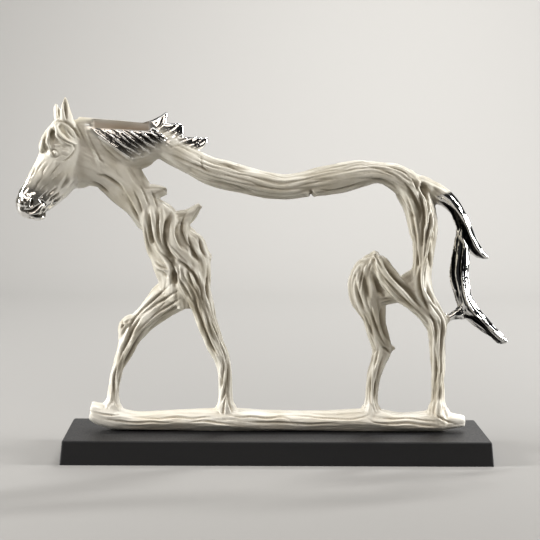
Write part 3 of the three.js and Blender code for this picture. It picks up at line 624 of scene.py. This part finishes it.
class Stroke:
    """A limb through its stations, with the grain that runs along it.

    grain is the depth of its grain, comb the spacing of the grain, and chrome the share of its length
    where the plating starts. ridges, groove and twist flute the section, fuller widens it, square makes
    it blunter (4) or more pointed (1.2) than an ellipse, and skew leans it to one side.
    """

    def __init__(
        self, stations, grain, chrome=None, turned=False,
        ridges=0, groove=0.0, twist=0.0, comb=8.0, fuller=0.4, square=2.0, skew=0.0,
    ):
        self.grain, self.comb, self.chrome = grain, comb, chrome
        self.ridges, self.groove, self.twist = ridges, groove, twist
        self.square, self.skew = square, skew
        length = sum(math.dist(a[:3], b[:3]) for a, b in zip(stations, stations[1:]))
        rows = catmull(stations, max(LEAST_ROWS, int(length / ROW_STEP)))
        centre = rows[:, [0, 2, 1]]
        tangent = np.gradient(centre, axis=0)
        tangent /= np.linalg.norm(tangent, axis=1)[:, None]
        view = np.cross([0.0, 1.0, 0.0], tangent)
        view /= np.linalg.norm(view, axis=1)[:, None]
        across = np.cross(tangent, view)
        if turned:
            centre = turned_places(centre)
            view = turned_vectors(view)
            across = turned_vectors(across)
        self.centre, self.view, self.across = centre, view, across
        self.half = rows[:, 3:5] + fuller
        step = np.linalg.norm(np.diff(centre, axis=0), axis=1)
        self.along = np.concatenate([[0], np.cumsum(step)])

    def mesh(self):
        """The limb's skin as rings of points around its centre line."""
        angle = np.arange(SIDES) * 2 * np.pi / SIDES
        share = (self.along / self.along[-1])[:, None]
        spread = np.abs(np.cos(angle)) ** self.square + np.abs(np.sin(angle)) ** self.square
        corners = spread ** (-1 / self.square)
        swell = corners[None, :] * (1 + self.groove * np.cos(self.ridges * angle)[None, :])
        turned = angle[None, :] + 2 * np.pi * self.twist * share
        lean = np.cos(turned) + self.skew * np.abs(np.sin(turned))
        u = (self.half[:, :1] * swell * lean)[:, :, None]
        w = (self.half[:, 1:] * swell * np.sin(turned))[:, :, None]
        ring = self.centre[:, None] + u * self.view[:, None] + w * self.across[:, None]
        points = np.vstack([ring.reshape(-1, 3), self.centre[:1], self.centre[-1:]])
        return points, tube_faces(len(self.centre), SIDES)

    def seen_from(self, points):
        """For each point: distance from the limb's skin, place along it, and the section's u and w."""
        nearest = np.empty(len(points), int)
        for start in range(0, len(points), CHUNK):
            part = points[start : start + CHUNK]
            gap = ((part[:, None, :] - self.centre[None]) ** 2).sum(2)
            nearest[start : start + CHUNK] = gap.argmin(1)
        away = points - self.centre[nearest]
        u = (away * self.view[nearest]).sum(1)
        w = (away * self.across[nearest]).sum(1)
        tangent = np.cross(self.view[nearest], self.across[nearest])
        ahead = -(away * tangent).sum(1)
        half = self.half[nearest]
        reach = np.sqrt((u / half[:, 0]) ** 2 + (w / half[:, 1]) ** 2)
        skin = (reach - 1) * half.min(1)
        beyond = np.maximum(np.abs(ahead) - END_SLACK, 0)
        return skin + beyond, self.along[nearest] - ahead, u, w


def laid_on(under, stations, side):
    """Lays a strand drawn in the side view on the skin of the limb under it."""
    rows = catmull(under, UNDER_ROWS)
    out = []
    for x, z, _, in_view, across in stations:
        gap = np.hypot(rows[:, 0] - x, rows[:, 1] - z)
        i = gap.argmin()
        rise = math.sqrt(max(STRAND_LEAST_RISE, 1 - (gap[i] / rows[i, 3]) ** 2))
        out.append([x, z, side * (rows[i, 4] * rise - STRAND_SINK * across), in_view, across])
    return out


def drawn_out(stations):
    """A strand whose first end is drawn out to a thin point, so that it grows out of the skin."""
    (x, z, y, in_view, across), (next_x, next_z) = stations[0], stations[1][:2]
    ahead = STRAND_POINT / math.dist((x, z), (next_x, next_z))
    point = [x + (x - next_x) * ahead, z + (z - next_z) * ahead, y, STRAND_POINT_HALF, STRAND_POINT_HALF]
    return [point, [x, z, y, STRAND_START * in_view, STRAND_START * across]] + stations[1:]


def lock_ends(share):
    """Root and tip of a lock at a share of the way along the mane."""
    root = np.array(FIRST_ROOT) + (np.array(LAST_ROOT) - FIRST_ROOT) * share
    tip = np.array(FIRST_TIP) + (np.array(LAST_TIP) - FIRST_TIP) * share
    return root, tip


def mane_locks():
    """The locks on both sides of the mane, in turn longer and shorter."""
    locks = []
    for i in range(MANE_LOCKS):
        root, tip = lock_ends(i / (MANE_LOCKS - 1))
        for side in (NEAR, FAR):
            lock = []
            for s, y, in_view, across in LOCK_PROFILE:
                x, z = root + (tip - root) * s * (LOCK_REACH + LOCK_REACH_CHANGE * (-1) ** i)
                wave = LOCK_WAVES[i % 2] * math.sin(2 * math.pi * s)
                lock.append([x + wave, z, side * y, in_view, across])
            locks.append(lock)
    return locks


def uneven(kind, i):
    """How far one groove of the mane strays from the regular ones."""
    size, beat = LOCK_LINE_UNEVEN[kind]
    return size * math.sin(beat * i)


def lock_lines():
    """Grooves that part the locks."""
    lines = []
    for i in range(2 * MANE_LOCKS - 1):
        root, tip = lock_ends((i + uneven("drift", i)) / (2 * MANE_LOCKS - 2))
        line = [LOCK_LINE_WIDTH, LOCK_LINE_DEPTH + uneven("depth", i)]
        for s in LOCK_LINE_STOPS:
            x, z = root + (tip - root) * s
            line += [x + uneven("bend", i) * math.sin(math.pi * s), z]
        lines.append(line)
    return lines


def all_strokes():
    """Every limb of the casting."""
    strokes = [
        Stroke(LOG, 0.3, ridges=6, groove=0.04, twist=0.35, comb=6),
        Stroke(FAR_FORELEG, 0.65, ridges=5, groove=0.05, twist=0.25),
        Stroke(FAR_KNEE, 0.6),
        Stroke(NEAR_FORELEG, 1.0, ridges=5, groove=0.05, twist=-0.3),
        Stroke(NEAR_HIND_LEG, 0.8, ridges=5, groove=0.05, twist=0.35),
        Stroke(FAR_HIND_LEG, 0.75, ridges=5, groove=0.05, twist=-0.25),
        Stroke(HIP_BEAM, 1.0, ridges=4, groove=0.05, twist=0.15),
        Stroke(HIP_WEB, 0.8),
        Stroke(GROIN_WEB, 0.8),
        Stroke(HOCK, 0.6),
        Stroke(CHEST, 0.4, ridges=6, groove=0.03, twist=0.1),
        Stroke(THROAT, 0.25),
        Stroke(CREST, 0.25),
        Stroke(BACK, 0.6, ridges=6, groove=0.03, twist=0.3, comb=5.5),
        Stroke(TAIL, 0.5, chrome=-0.1, fuller=1.4, square=1.2, skew=-0.35),
        Stroke(TAIL_END, 0.7, chrome=-0.1, comb=5, fuller=1.8, square=1.2, skew=-0.3),
        Stroke(TAIL_LINK, 0.5, chrome=0.45),
        Stroke(MANE_BAND, 0.05, chrome=0.16),
        Stroke(HEAD, 0.12, turned=True),
        Stroke(NEAR_EAR, 0.1, turned=True, fuller=-0.9),
        Stroke(NEAR_EAR_BACK, 0.1, turned=True),
        Stroke(FAR_EAR, 0.1, turned=True, fuller=0.3),
    ]
    strokes += [Stroke(s, 0.7, fuller=0.8) for s in STUBS]
    strokes += [Stroke(s, 0.4, turned=True) for s in FORELOCK]
    strokes += [Stroke(s, 0.25, chrome=-0.1, comb=4.0) for s in mane_locks()]
    strokes += [Stroke(s, 0.1, chrome=-0.1, comb=4.0, fuller=0.7, square=4) for s in MANE_SPIKES]
    for side in (NEAR, FAR):
        strokes += [Stroke(laid_on(CHEST, drawn_out(s), side), 0.45) for s in CHEST_STRANDS]
    return strokes


def head_lump(x, z, y, length, height, width):
    """An egg in the head, turned with it."""
    points = []
    for i in range(1, LUMP_RINGS + 1):
        t = math.pi * i / (LUMP_RINGS + 1)
        for k in range(SIDES):
            p = 2 * math.pi * k / SIDES
            points.append((math.sin(t) * math.cos(p), math.sin(t) * math.sin(p), math.cos(t)))
    points += [(0, 0, 1), (0, 0, -1)]
    faces = [(face[0], *face[:0:-1]) for face in tube_faces(LUMP_RINGS, SIDES)]
    return turned_places(np.array(points) * [length, width, height] + [x, y, z]), faces


def mesh_object(name, points, faces):
    """A new object of these points and faces, in the scene."""
    mesh = bpy.data.meshes.new(name)
    mesh.from_pydata(np.asarray(points).tolist(), [], faces)
    mesh.update()
    piece = bpy.data.objects.new(name, mesh)
    bpy.context.scene.collection.objects.link(piece)
    return piece


def apply_modifiers(piece):
    """Replaces the object's mesh by the one its modifiers give."""
    graph = bpy.context.evaluated_depsgraph_get()
    mesh = bpy.data.meshes.new_from_object(piece.evaluated_get(graph))
    piece.modifiers.clear()
    piece.data = mesh


def union_object(strokes):
    """One skin around all the limbs and lumps, softened where they meet."""
    parts = [stroke.mesh() for stroke in strokes] + [head_lump(*lump) for lump in HEAD_LUMPS]
    points, faces = [], []
    count = 0
    for part_points, part_faces in parts:
        points.append(part_points)
        faces += [tuple(i + count for i in face) for face in part_faces]
        count += len(part_points)
    piece = mesh_object("cast", np.vstack(points), faces)
    remesh = piece.modifiers.new("union", "REMESH")
    remesh.mode = "VOXEL"
    remesh.voxel_size = VOXEL
    smooth = piece.modifiers.new("blend", "SMOOTH")
    smooth.factor = BLEND_FACTOR
    smooth.iterations = BLEND_ROUNDS
    apply_modifiers(piece)
    return piece


def vertex_rows(mesh, name):
    """The vertices' places ("co") or normals ("normal"), one row for each."""
    flat = np.empty(len(mesh.vertices) * 3, np.float32)
    mesh.vertices.foreach_get(name, flat)
    return flat.reshape(-1, 3).astype(float)


def perlin(x, y, z, seed):
    """Smooth noise of about -1 to 1, from slopes that a hash gives to the corners of unit cells."""
    cell = [np.floor(v).astype(np.int64) for v in (x, y, z)]
    part = [v - c for v, c in zip((x, y, z), cell)]
    fade = [v * v * v * (v * (v * 6 - 15) + 10) for v in part]
    total = 0
    for i, j, k in np.ndindex(2, 2, 2):
        h = (cell[0] + i) * HASH[0] + (cell[1] + j) * HASH[1] + (cell[2] + k) * HASH[2] + seed * HASH[3]
        h = (h ^ (h >> 13)) * HASH_MIX & 0xFFFFFFFF
        h = h ^ (h >> 16)
        slope = [((h >> s) & 255) / 127.5 - 1 for s in (0, 8, 16)]
        dot = slope[0] * (part[0] - i) + slope[1] * (part[1] - j) + slope[2] * (part[2] - k)
        weight = 1
        for f, corner in zip(fade, (i, j, k)):
            weight = weight * (f if corner else 1 - f)
        total = total + weight * dot
    return total * NOISE_SCALE


def grooves(along, u, w, spacing, kind, seed):
    """Narrow grooves that run along a limb, merge and part: the zero lines of a stretched noise."""
    length, sharpness, depth = kind
    beat = along / length * WANDER_BEAT
    wander = perlin(beat, u / WANDER_SIZE, w / WANDER_SIZE, seed + WANDER_SEED) * WANDER
    n = perlin(u / spacing + wander, w / spacing - wander, along / length, seed)
    return depth * np.exp(-((n / sharpness) ** 2)), n


def grain(strokes, place):
    """Depth of the grain and share of plating at each place, weighed by how near each limb's skin is."""
    weights = np.zeros(len(place))
    lowering = np.zeros(len(place))
    chrome = np.zeros(len(place))
    for index, stroke in enumerate(strokes):
        low = stroke.centre.min(0) - stroke.half.max() - GRAIN_MARGIN
        high = stroke.centre.max(0) + stroke.half.max() + GRAIN_MARGIN
        inside = np.where(((place > low) & (place < high)).all(1))[0]
        if not len(inside):
            continue
        skin, along, u, w = stroke.seen_from(place[inside])
        weight = np.exp(-np.clip(np.abs(skin), 0, GRAIN_FARTHEST) / GRAIN_REACH)
        keep = weight > LEAST_WEIGHT
        inside, along, u, w, weight = inside[keep], along[keep], u[keep], w[keep], weight[keep]
        seed = SEED_STEP * index
        broad, swell = grooves(along, u, w, stroke.comb, BROAD_GRAIN, seed + 1)
        fine, _ = grooves(along, u, w, stroke.comb / 2, FINE_GRAIN, seed + 2)
        depth = broad + fine - SWELL_HEIGHT * np.abs(swell)
        weights[inside] += weight
        lowering[inside] += weight * (stroke.grain * depth)
        if stroke.chrome is not None:
            share = along / stroke.along[-1]
            chrome[inside] += weight * np.clip((share - stroke.chrome) / PLATING_FADE, 0, 1)
    weights = np.maximum(weights, TINY)
    return lowering / weights, chrome / weights


def shown_near(places):
    """Where places of the near side show on the middle plane from the camera's place."""
    mm = places * GRID
    spread = (0 - CAMERA_AT[1]) / (mm[:, 1] - CAMERA_AT[1])
    x = CAMERA_AT[0] + (mm[:, 0] - CAMERA_AT[0]) * spread
    z = CAMERA_AT[2] + (mm[:, 2] + BASE_Z - CAMERA_AT[2]) * spread - BASE_Z
    return np.stack([x, z], 1) / GRID


def shown_cheek(places):
    """The head's far side, turned back and mirrored onto the near side's drawing."""
    c, s = math.cos(HEAD_TURN), math.sin(HEAD_TURN)
    x = POLL_X + ((places[:, 0] - POLL_X) * c + places[:, 1] * s) * c
    return np.stack([x + CHEEK_SHIFT, places[:, 2]], 1)


def carve(lowering, lines, facing, shown, strength):
    """Cuts or raises lines in the skin that faces one side, drawn in that side's view."""
    for width, depth, *numbers in lines:
        stations = [[x, z, 0, 1, 1] for x, z in zip(numbers[::2], numbers[1::2])]
        path = catmull(stations, CUT_STEPS * len(stations))[:, :2]
        low, high = path.min(0) - CUT_MARGIN * width, path.max(0) + CUT_MARGIN * width
        near = np.where(((shown > low) & (shown < high)).all(1) & (facing > 0))[0]
        if not len(near):
            continue
        gap = ((shown[near][:, None] - path[None]) ** 2).sum(2)
        at = gap.argmin(1)
        share = at / (len(path) - 1)
        taper = np.sin(np.pi * np.clip(share, CUT_END, 1 - CUT_END)) ** CUT_TAPER
        reach = CUT_WIDTH * width * (CUT_END_WIDTH + (1 - CUT_END_WIDTH) * taper)
        away = gap[np.arange(len(near)), at]
        rim = CUT_RIM * taper**2 * np.exp(-((np.sqrt(away) - 2 * reach) / reach) ** 2)
        cut = strength * depth * (np.exp(-away / reach**2) - rim) * taper * facing[near]
        lowering[near] += cut


def carve_all(lowering, place, normal, near):
    """Carves every line on the near side, and on the far side the first few of each list, or all (None)."""
    near_facing, far_facing = (
        np.clip((side * normal[:, 1] + FACING_START) / FACING_SPAN, 0, 1) for side in (NEAR, FAR)
    )
    far = place[:, [0, 2]]
    far_cheek = shown_cheek(place)
    for lines, repeated in (
        (CHEST_LINES, 8),
        (FORELEG_LINES, 4),
        (RUMP_LINES, 12),
        (BACK_LINES, 8),
        (NECK_LINES, 3),
        (LOG_LINES, None),
        (lock_lines(), None),
        (TAIL_LINES, None),
    ):
        carve(lowering, lines, near_facing, near, CUT_DEPTH)
        carve(lowering, lines[:repeated], far_facing, far, CUT_DEPTH)
    carve(lowering, HEAD_LINES, near_facing, near, FINE_CUT_DEPTH)
    carve(lowering, HEAD_LINES, far_facing, far_cheek, FINE_CUT_DEPTH)
    carve(lowering, MANE_LINES, near_facing, near, FINE_CUT_DEPTH)
    carve(lowering, MANE_LINES, far_facing, far, FINE_CUT_DEPTH)


def crest_band(place, x_shown):
    """How far each place belongs to the mane's flat band, and how far from the middle the band lies there."""
    along = np.clip(np.minimum(x_shown - BAND_X[0], BAND_X[1] - x_shown) / BAND_END, 0, 1)
    above = place[:, 2] - (BAND_Z + BAND_SLOPE * (x_shown - BAND_X[1]))
    within = np.clip((BAND_HALF + BAND_MARGIN - np.abs(above)) / BAND_FADE, 0, 1)
    return within * along, BAND_Y - BAND_LEAN * above


def muzzle_plating(place, shown):
    """How strongly the muzzle is plated at each place."""
    on_muzzle = (place[:, 0] < MUZZLE_BACK_X) * (place[:, 2] > MUZZLE_LOW_Z)
    above_lips = LIPS_UP[0] * (shown[:, 0] - LIPS[0]) + LIPS_UP[1] * (shown[:, 1] - LIPS[1])
    lips = np.clip(LIPS_START - above_lips / LIPS_FADE, 0, 1)
    chin = CHIN_PLATING * np.clip((CHIN_TOP_Z - shown[:, 1]) / CHIN_FADE, 0, 1)
    return np.maximum(lips, chin) * on_muzzle


def tail_plating(chrome, place, shown):
    """Starts the tail's plating along a slanting line below the rump."""
    across_run = ROOT_RUN[1] * (shown[:, 0] - ROOT_AT[0]) - ROOT_RUN[0] * (shown[:, 1] - ROOT_AT[1])
    below_root = across_run / ROOT_RUN_LENGTH
    at_root = (place[:, 0] > ROOT_LEAST_X) * (place[:, 2] > ROOT_LEAST_Z)
    return np.where(at_root, np.minimum(chrome, np.clip(0.5 + below_root / ROOT_FADE, 0, 1)), chrome)


def store(mesh, name, values):
    """Keeps a value from 0 to 1 at each vertex, for the material."""
    layer = mesh.attributes.new(name, "FLOAT", "POINT")
    layer.data.foreach_set("value", values.astype(np.float32))


def carved_cast():
    """The casting: limbs and log in one skin, with its grain, carved lines and plating, in metres."""
    strokes = all_strokes()
    piece = union_object(strokes)
    mesh = piece.data
    place = vertex_rows(mesh, "co")
    normal = vertex_rows(mesh, "normal")
    shown = shown_near(place)

    lowering, chrome = grain(strokes, place)
    carve_all(lowering, place, normal, shown)
    in_band, band_y = crest_band(place, shown[:, 0])
    lowering *= 1 - in_band
    muzzle = muzzle_plating(place, shown)
    x_fold, y_fold, z_fold = (place / FOLD_SIZE).T
    lowering += FOLD_DEPTH * perlin(x_fold, y_fold, z_fold, FOLD_SEED) * muzzle

    above_foot = np.clip((place[:, 2] - FOOT_Z) / FOOT_FADE, 0, 1)
    place -= normal * (lowering * above_foot)[:, None]
    place[:, 2] = np.maximum(place[:, 2], 0)
    in_band *= np.clip((np.abs(place[:, 1]) - BAND_CORE) / BAND_CORE, 0, 1)
    place[:, 1] += in_band * (np.sign(place[:, 1]) * band_y - place[:, 1])

    chrome = np.maximum(chrome, MUZZLE_PLATING * muzzle)
    # The plated part of the mane's flat band gets a painted brown reflection and more roughness
    reflection_band = in_band * (chrome > PLATED)
    chrome = tail_plating(chrome, place, shown)

    place *= GRID
    place[:, 2] += BASE_Z
    mesh.vertices.foreach_set("co", (place * MM).astype(np.float32).ravel())
    store(mesh, "chrome", chrome)
    store(mesh, "reflection_band", reflection_band)
    # Groove depth, kept for the resin's toning and the painted shade in the grooves
    store(mesh, "groove_tone_and_shade", np.clip((lowering - CAVITY_FROM) / CAVITY_SPAN, 0, 1))
    mesh.update()

    triangles = sum(len(p.vertices) - 2 for p in mesh.polygons)
    if triangles > MOST_TRIANGLES:
        thin = piece.modifiers.new("thin", "DECIMATE")
        thin.ratio = MOST_TRIANGLES / triangles
        apply_modifiers(piece)
    piece.name = "horse_cast"
    piece.data.polygons.foreach_set("use_smooth", [True] * len(piece.data.polygons))
    return piece


class Painter:
    """A new material, with short ways to add and join its nodes."""

    def __init__(self, name):
        self.material = bpy.data.materials.new(name)
        self.material.use_nodes = True
        self.nodes = self.material.node_tree.nodes
        self.shader = self.nodes["Principled BSDF"]

    def join(self, source, socket):
        self.material.node_tree.links.new(source, socket)

    def object_place(self):
        return self.nodes.new("ShaderNodeTexCoord").outputs["Object"]

    def stored(self, name):
        """A value kept at the vertices."""
        node = self.nodes.new("ShaderNodeAttribute")
        node.attribute_name = name
        return node.outputs["Fac"]

    def noise(self, scale, detail=4):
        node = self.nodes.new("ShaderNodeTexNoise")
        node.inputs["Scale"].default_value = scale
        node.inputs["Detail"].default_value = detail
        self.join(self.object_place(), node.inputs["Vector"])
        return node.outputs["Fac"]

    def mapped(self, source, before, after=(0, 1)):
        """A value mapped from one range to another, and held at its ends."""
        node = self.nodes.new("ShaderNodeMapRange")
        for socket, value in zip(("From Min", "From Max", "To Min", "To Max"), (*before, *after)):
            node.inputs[socket].default_value = value
        self.join(source, node.inputs["Value"])
        return node.outputs["Result"]

    def ramp(self, source, stops):
        """A value turned to a colour by stops of (place, colour): the first, the last, then any between."""
        node = self.nodes.new("ShaderNodeValToRGB")
        elements = node.color_ramp.elements
        for index, (at, colour) in enumerate(stops):
            element = elements[index] if index < 2 else elements.new(at)
            element.position = at
            element.color = colour
        self.join(source, node.inputs["Fac"])
        return node.outputs["Color"]

    def mixed(self, share, first, second, blend="MIX"):
        """Two colours mixed. Each of the three is a node's output or a plain value."""
        node = self.nodes.new("ShaderNodeMix")
        node.data_type = "RGBA"
        node.blend_type = blend
        for index, value in ((0, share), (6, first), (7, second)):
            if isinstance(value, bpy.types.NodeSocket):
                self.join(value, node.inputs[index])
            else:
                node.inputs[index].default_value = value
        return node.outputs[2]

    def bump(self, height, relief, shader):
        """Bumps of a given (strength, distance) on a shader."""
        node = self.nodes.new("ShaderNodeBump")
        node.inputs["Strength"].default_value, node.inputs["Distance"].default_value = relief
        self.join(height, node.inputs["Height"])
        self.join(node.outputs["Normal"], shader.inputs["Normal"])

    def roughen(self, shader, noise, roughness, relief):
        """Varies a shader's roughness, and bumps it, by the same noise."""
        self.join(self.mapped(noise, NOISE_RANGE, roughness), shader.inputs["Roughness"])
        self.bump(noise, relief, shader)


def resin(paint, groove_tone_and_shade):
    """Cream resin with toning and painted shade in its grooves, cloudy, and lighter towards the bottom near
    the log.
    """
    # Grooves darken by depth: partly the resin's toning, partly painted shade
    tone = paint.ramp(groove_tone_and_shade, [(0, RESIN_PALE), (1, RESIN_GROOVE_TONE_AND_SHADE), (MIDDLE_STOP, RESIN_SHALLOW_TONE_AND_SHADE)])
    clouds = paint.ramp(paint.noise(CLOUD_SCALE), zip(CLOUD_STOPS, (RESIN_CLOUD, WHITE)))
    shade = paint.mixed(1, tone, clouds, "MULTIPLY")
    height = paint.nodes.new("ShaderNodeSeparateXYZ")
    paint.join(paint.object_place(), height.inputs["Vector"])
    # The resin turns lighter towards the bottom, near the log
    low_down = paint.mapped(height.outputs["Z"], LOW_PALE_Z)
    paint.join(paint.mixed(low_down, shade, LOW_PALE_COLOUR, "SCREEN"), paint.shader.inputs["Base Color"])
    paint.roughen(paint.shader, paint.noise(RESIN_GRIT), RESIN_ROUGHNESS, RESIN_BUMP)
    return paint.shader


def plating(paint, groove_tone_and_shade):
    """Chrome, with painted shade in its grooves, and a rougher band on the mane's crest that carries a
    painted brown reflection.
    """
    shine = paint.nodes.new("ShaderNodeBsdfPrincipled")
    shine.inputs["Metallic"].default_value = 1
    reflection_band = paint.stored("reflection_band")
    # Painted reflection: the band's chrome turns brown
    metal = paint.mixed(reflection_band, CHROME, BAND_REFLECTION_BROWN)
    # Painted shade: the chrome turns near black in its grooves
    shaded_metal = paint.mixed(paint.mapped(groove_tone_and_shade, CHROME_SHADE_RANGE), metal, CHROME_GROOVE_SHADE)
    paint.join(shaded_metal, shine.inputs["Base Color"])
    ripple = paint.noise(CHROME_RIPPLE, CHROME_DETAIL)
    dull = paint.nodes.new("ShaderNodeMath")
    dull.operation = "MULTIPLY_ADD"
    dull.inputs[1].default_value = DULL_ROUGHNESS
    paint.join(reflection_band, dull.inputs[0])
    paint.join(paint.mapped(ripple, NOISE_RANGE, CHROME_ROUGHNESS), dull.inputs[2])
    paint.join(dull.outputs["Value"], shine.inputs["Roughness"])
    paint.bump(ripple, CHROME_BUMP, shine)
    return shine


def resin_material():
    """Cream resin that turns to chrome where the plating says so."""
    paint = Painter("cream_resin")
    groove_tone_and_shade = paint.stored("groove_tone_and_shade")
    mix = paint.nodes.new("ShaderNodeMixShader")
    paint.join(paint.stored("chrome"), mix.inputs["Fac"])
    paint.join(resin(paint, groove_tone_and_shade).outputs["BSDF"], mix.inputs[1])
    paint.join(plating(paint, groove_tone_and_shade).outputs["BSDF"], mix.inputs[2])
    paint.join(mix.outputs["Shader"], paint.nodes["Material Output"].inputs["Surface"])
    return paint.material


def plinth_material():
    """Satin black paint over fine-grained wood."""
    paint = Painter("black_plinth")
    paint.shader.inputs["Base Color"].default_value = PLINTH_BLACK
    paint.roughen(paint.shader, paint.noise(PLINTH_GRIT), PLINTH_ROUGHNESS, PLINTH_BUMP)
    return paint.material


def wall_material():
    """Plain pale wall paint."""
    paint = Painter("wall_paint")
    paint.shader.inputs["Base Color"].default_value = WALL_PAINT
    paint.shader.inputs["Roughness"].default_value = WALL_ROUGHNESS
    return paint.material


def sweep_object():
    """A pale floor that sweeps up into the wall behind."""
    profile = [(FLOOR_FRONT, 0.0), (SWEEP_START, 0.0)]
    for i in range(1, SWEEP_STEPS + 1):
        angle = math.pi / 2 * i / SWEEP_STEPS
        profile.append((SWEEP_START + SWEEP_RADIUS * math.sin(angle), SWEEP_RADIUS * (1 - math.cos(angle))))
    profile.append((SWEEP_START + SWEEP_RADIUS, WALL_TOP))
    points = [(x, y, z) for y, z in profile for x in (-WALL_HALF, WALL_HALF)]
    faces = [(2 * i, 2 * i + 1, 2 * i + 3, 2 * i + 2) for i in range(len(profile) - 1)]
    piece = mesh_object("backdrop", points, faces)
    piece.data.polygons.foreach_set("use_smooth", [True] * len(faces))
    piece.data.materials.append(wall_material())
    return piece


def area_light(name, at, target, size, power, colour=(1, 1, 1)):
    """A rectangular light that points at a place."""
    light = bpy.data.lights.new(name, "AREA")
    light.shape = "RECTANGLE"
    light.size, light.size_y = size
    light.energy = power
    light.color = colour
    lamp = bpy.data.objects.new(name, light)
    bpy.context.scene.collection.objects.link(lamp)
    lamp.location = at
    lamp.rotation_mode = "QUATERNION"
    lamp.rotation_quaternion = (Vector(at) - Vector(target)).to_track_quat("Z", "Y")


def dim_room():
    """The studio's weak light from all sides."""
    world = bpy.data.worlds.new("room")
    world.use_nodes = True
    background = world.node_tree.nodes["Background"]
    background.inputs["Color"].default_value = ROOM_COLOUR
    background.inputs["Strength"].default_value = ROOM_STRENGTH
    return world


def camera_object():
    """The camera at the photograph's place, turned by yaw, pitch and roll."""
    yaw, pitch, roll = (math.radians(v) for v in CAMERA_YAW_PITCH_ROLL)
    ahead = np.array([math.sin(yaw) * math.cos(pitch), math.cos(yaw) * math.cos(pitch), -math.sin(pitch)])
    level = np.array([math.cos(yaw), -math.sin(yaw), 0])
    below = np.cross(ahead, level)
    right = math.cos(roll) * level + math.sin(roll) * below
    down = math.cos(roll) * below - math.sin(roll) * level
    camera = bpy.data.objects.new("camera", bpy.data.cameras.new("camera"))
    camera.data.lens = CAMERA_LENS
    camera.data.sensor_width = CAMERA_SENSOR
    turn = Matrix([[right[i], -down[i], -ahead[i]] for i in range(3)]).to_4x4()
    camera.matrix_world = Matrix.Translation([v * MM for v in CAMERA_AT]) @ turn
    bpy.context.scene.collection.objects.link(camera)
    return camera


cast = carved_cast()
cast.data.materials.clear()
cast.data.materials.append(resin_material())
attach(cast, "root")
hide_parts("horse")

block = bpy.data.objects["plinth"]
block.data.materials.clear()
block.data.materials.append(plinth_material())

sweep_object()
for light in LIGHTS:
    area_light(*light)
bpy.context.scene.world = dim_room()
bpy.context.scene.view_settings.view_transform = "Standard"
bpy.context.scene.camera = camera_object()
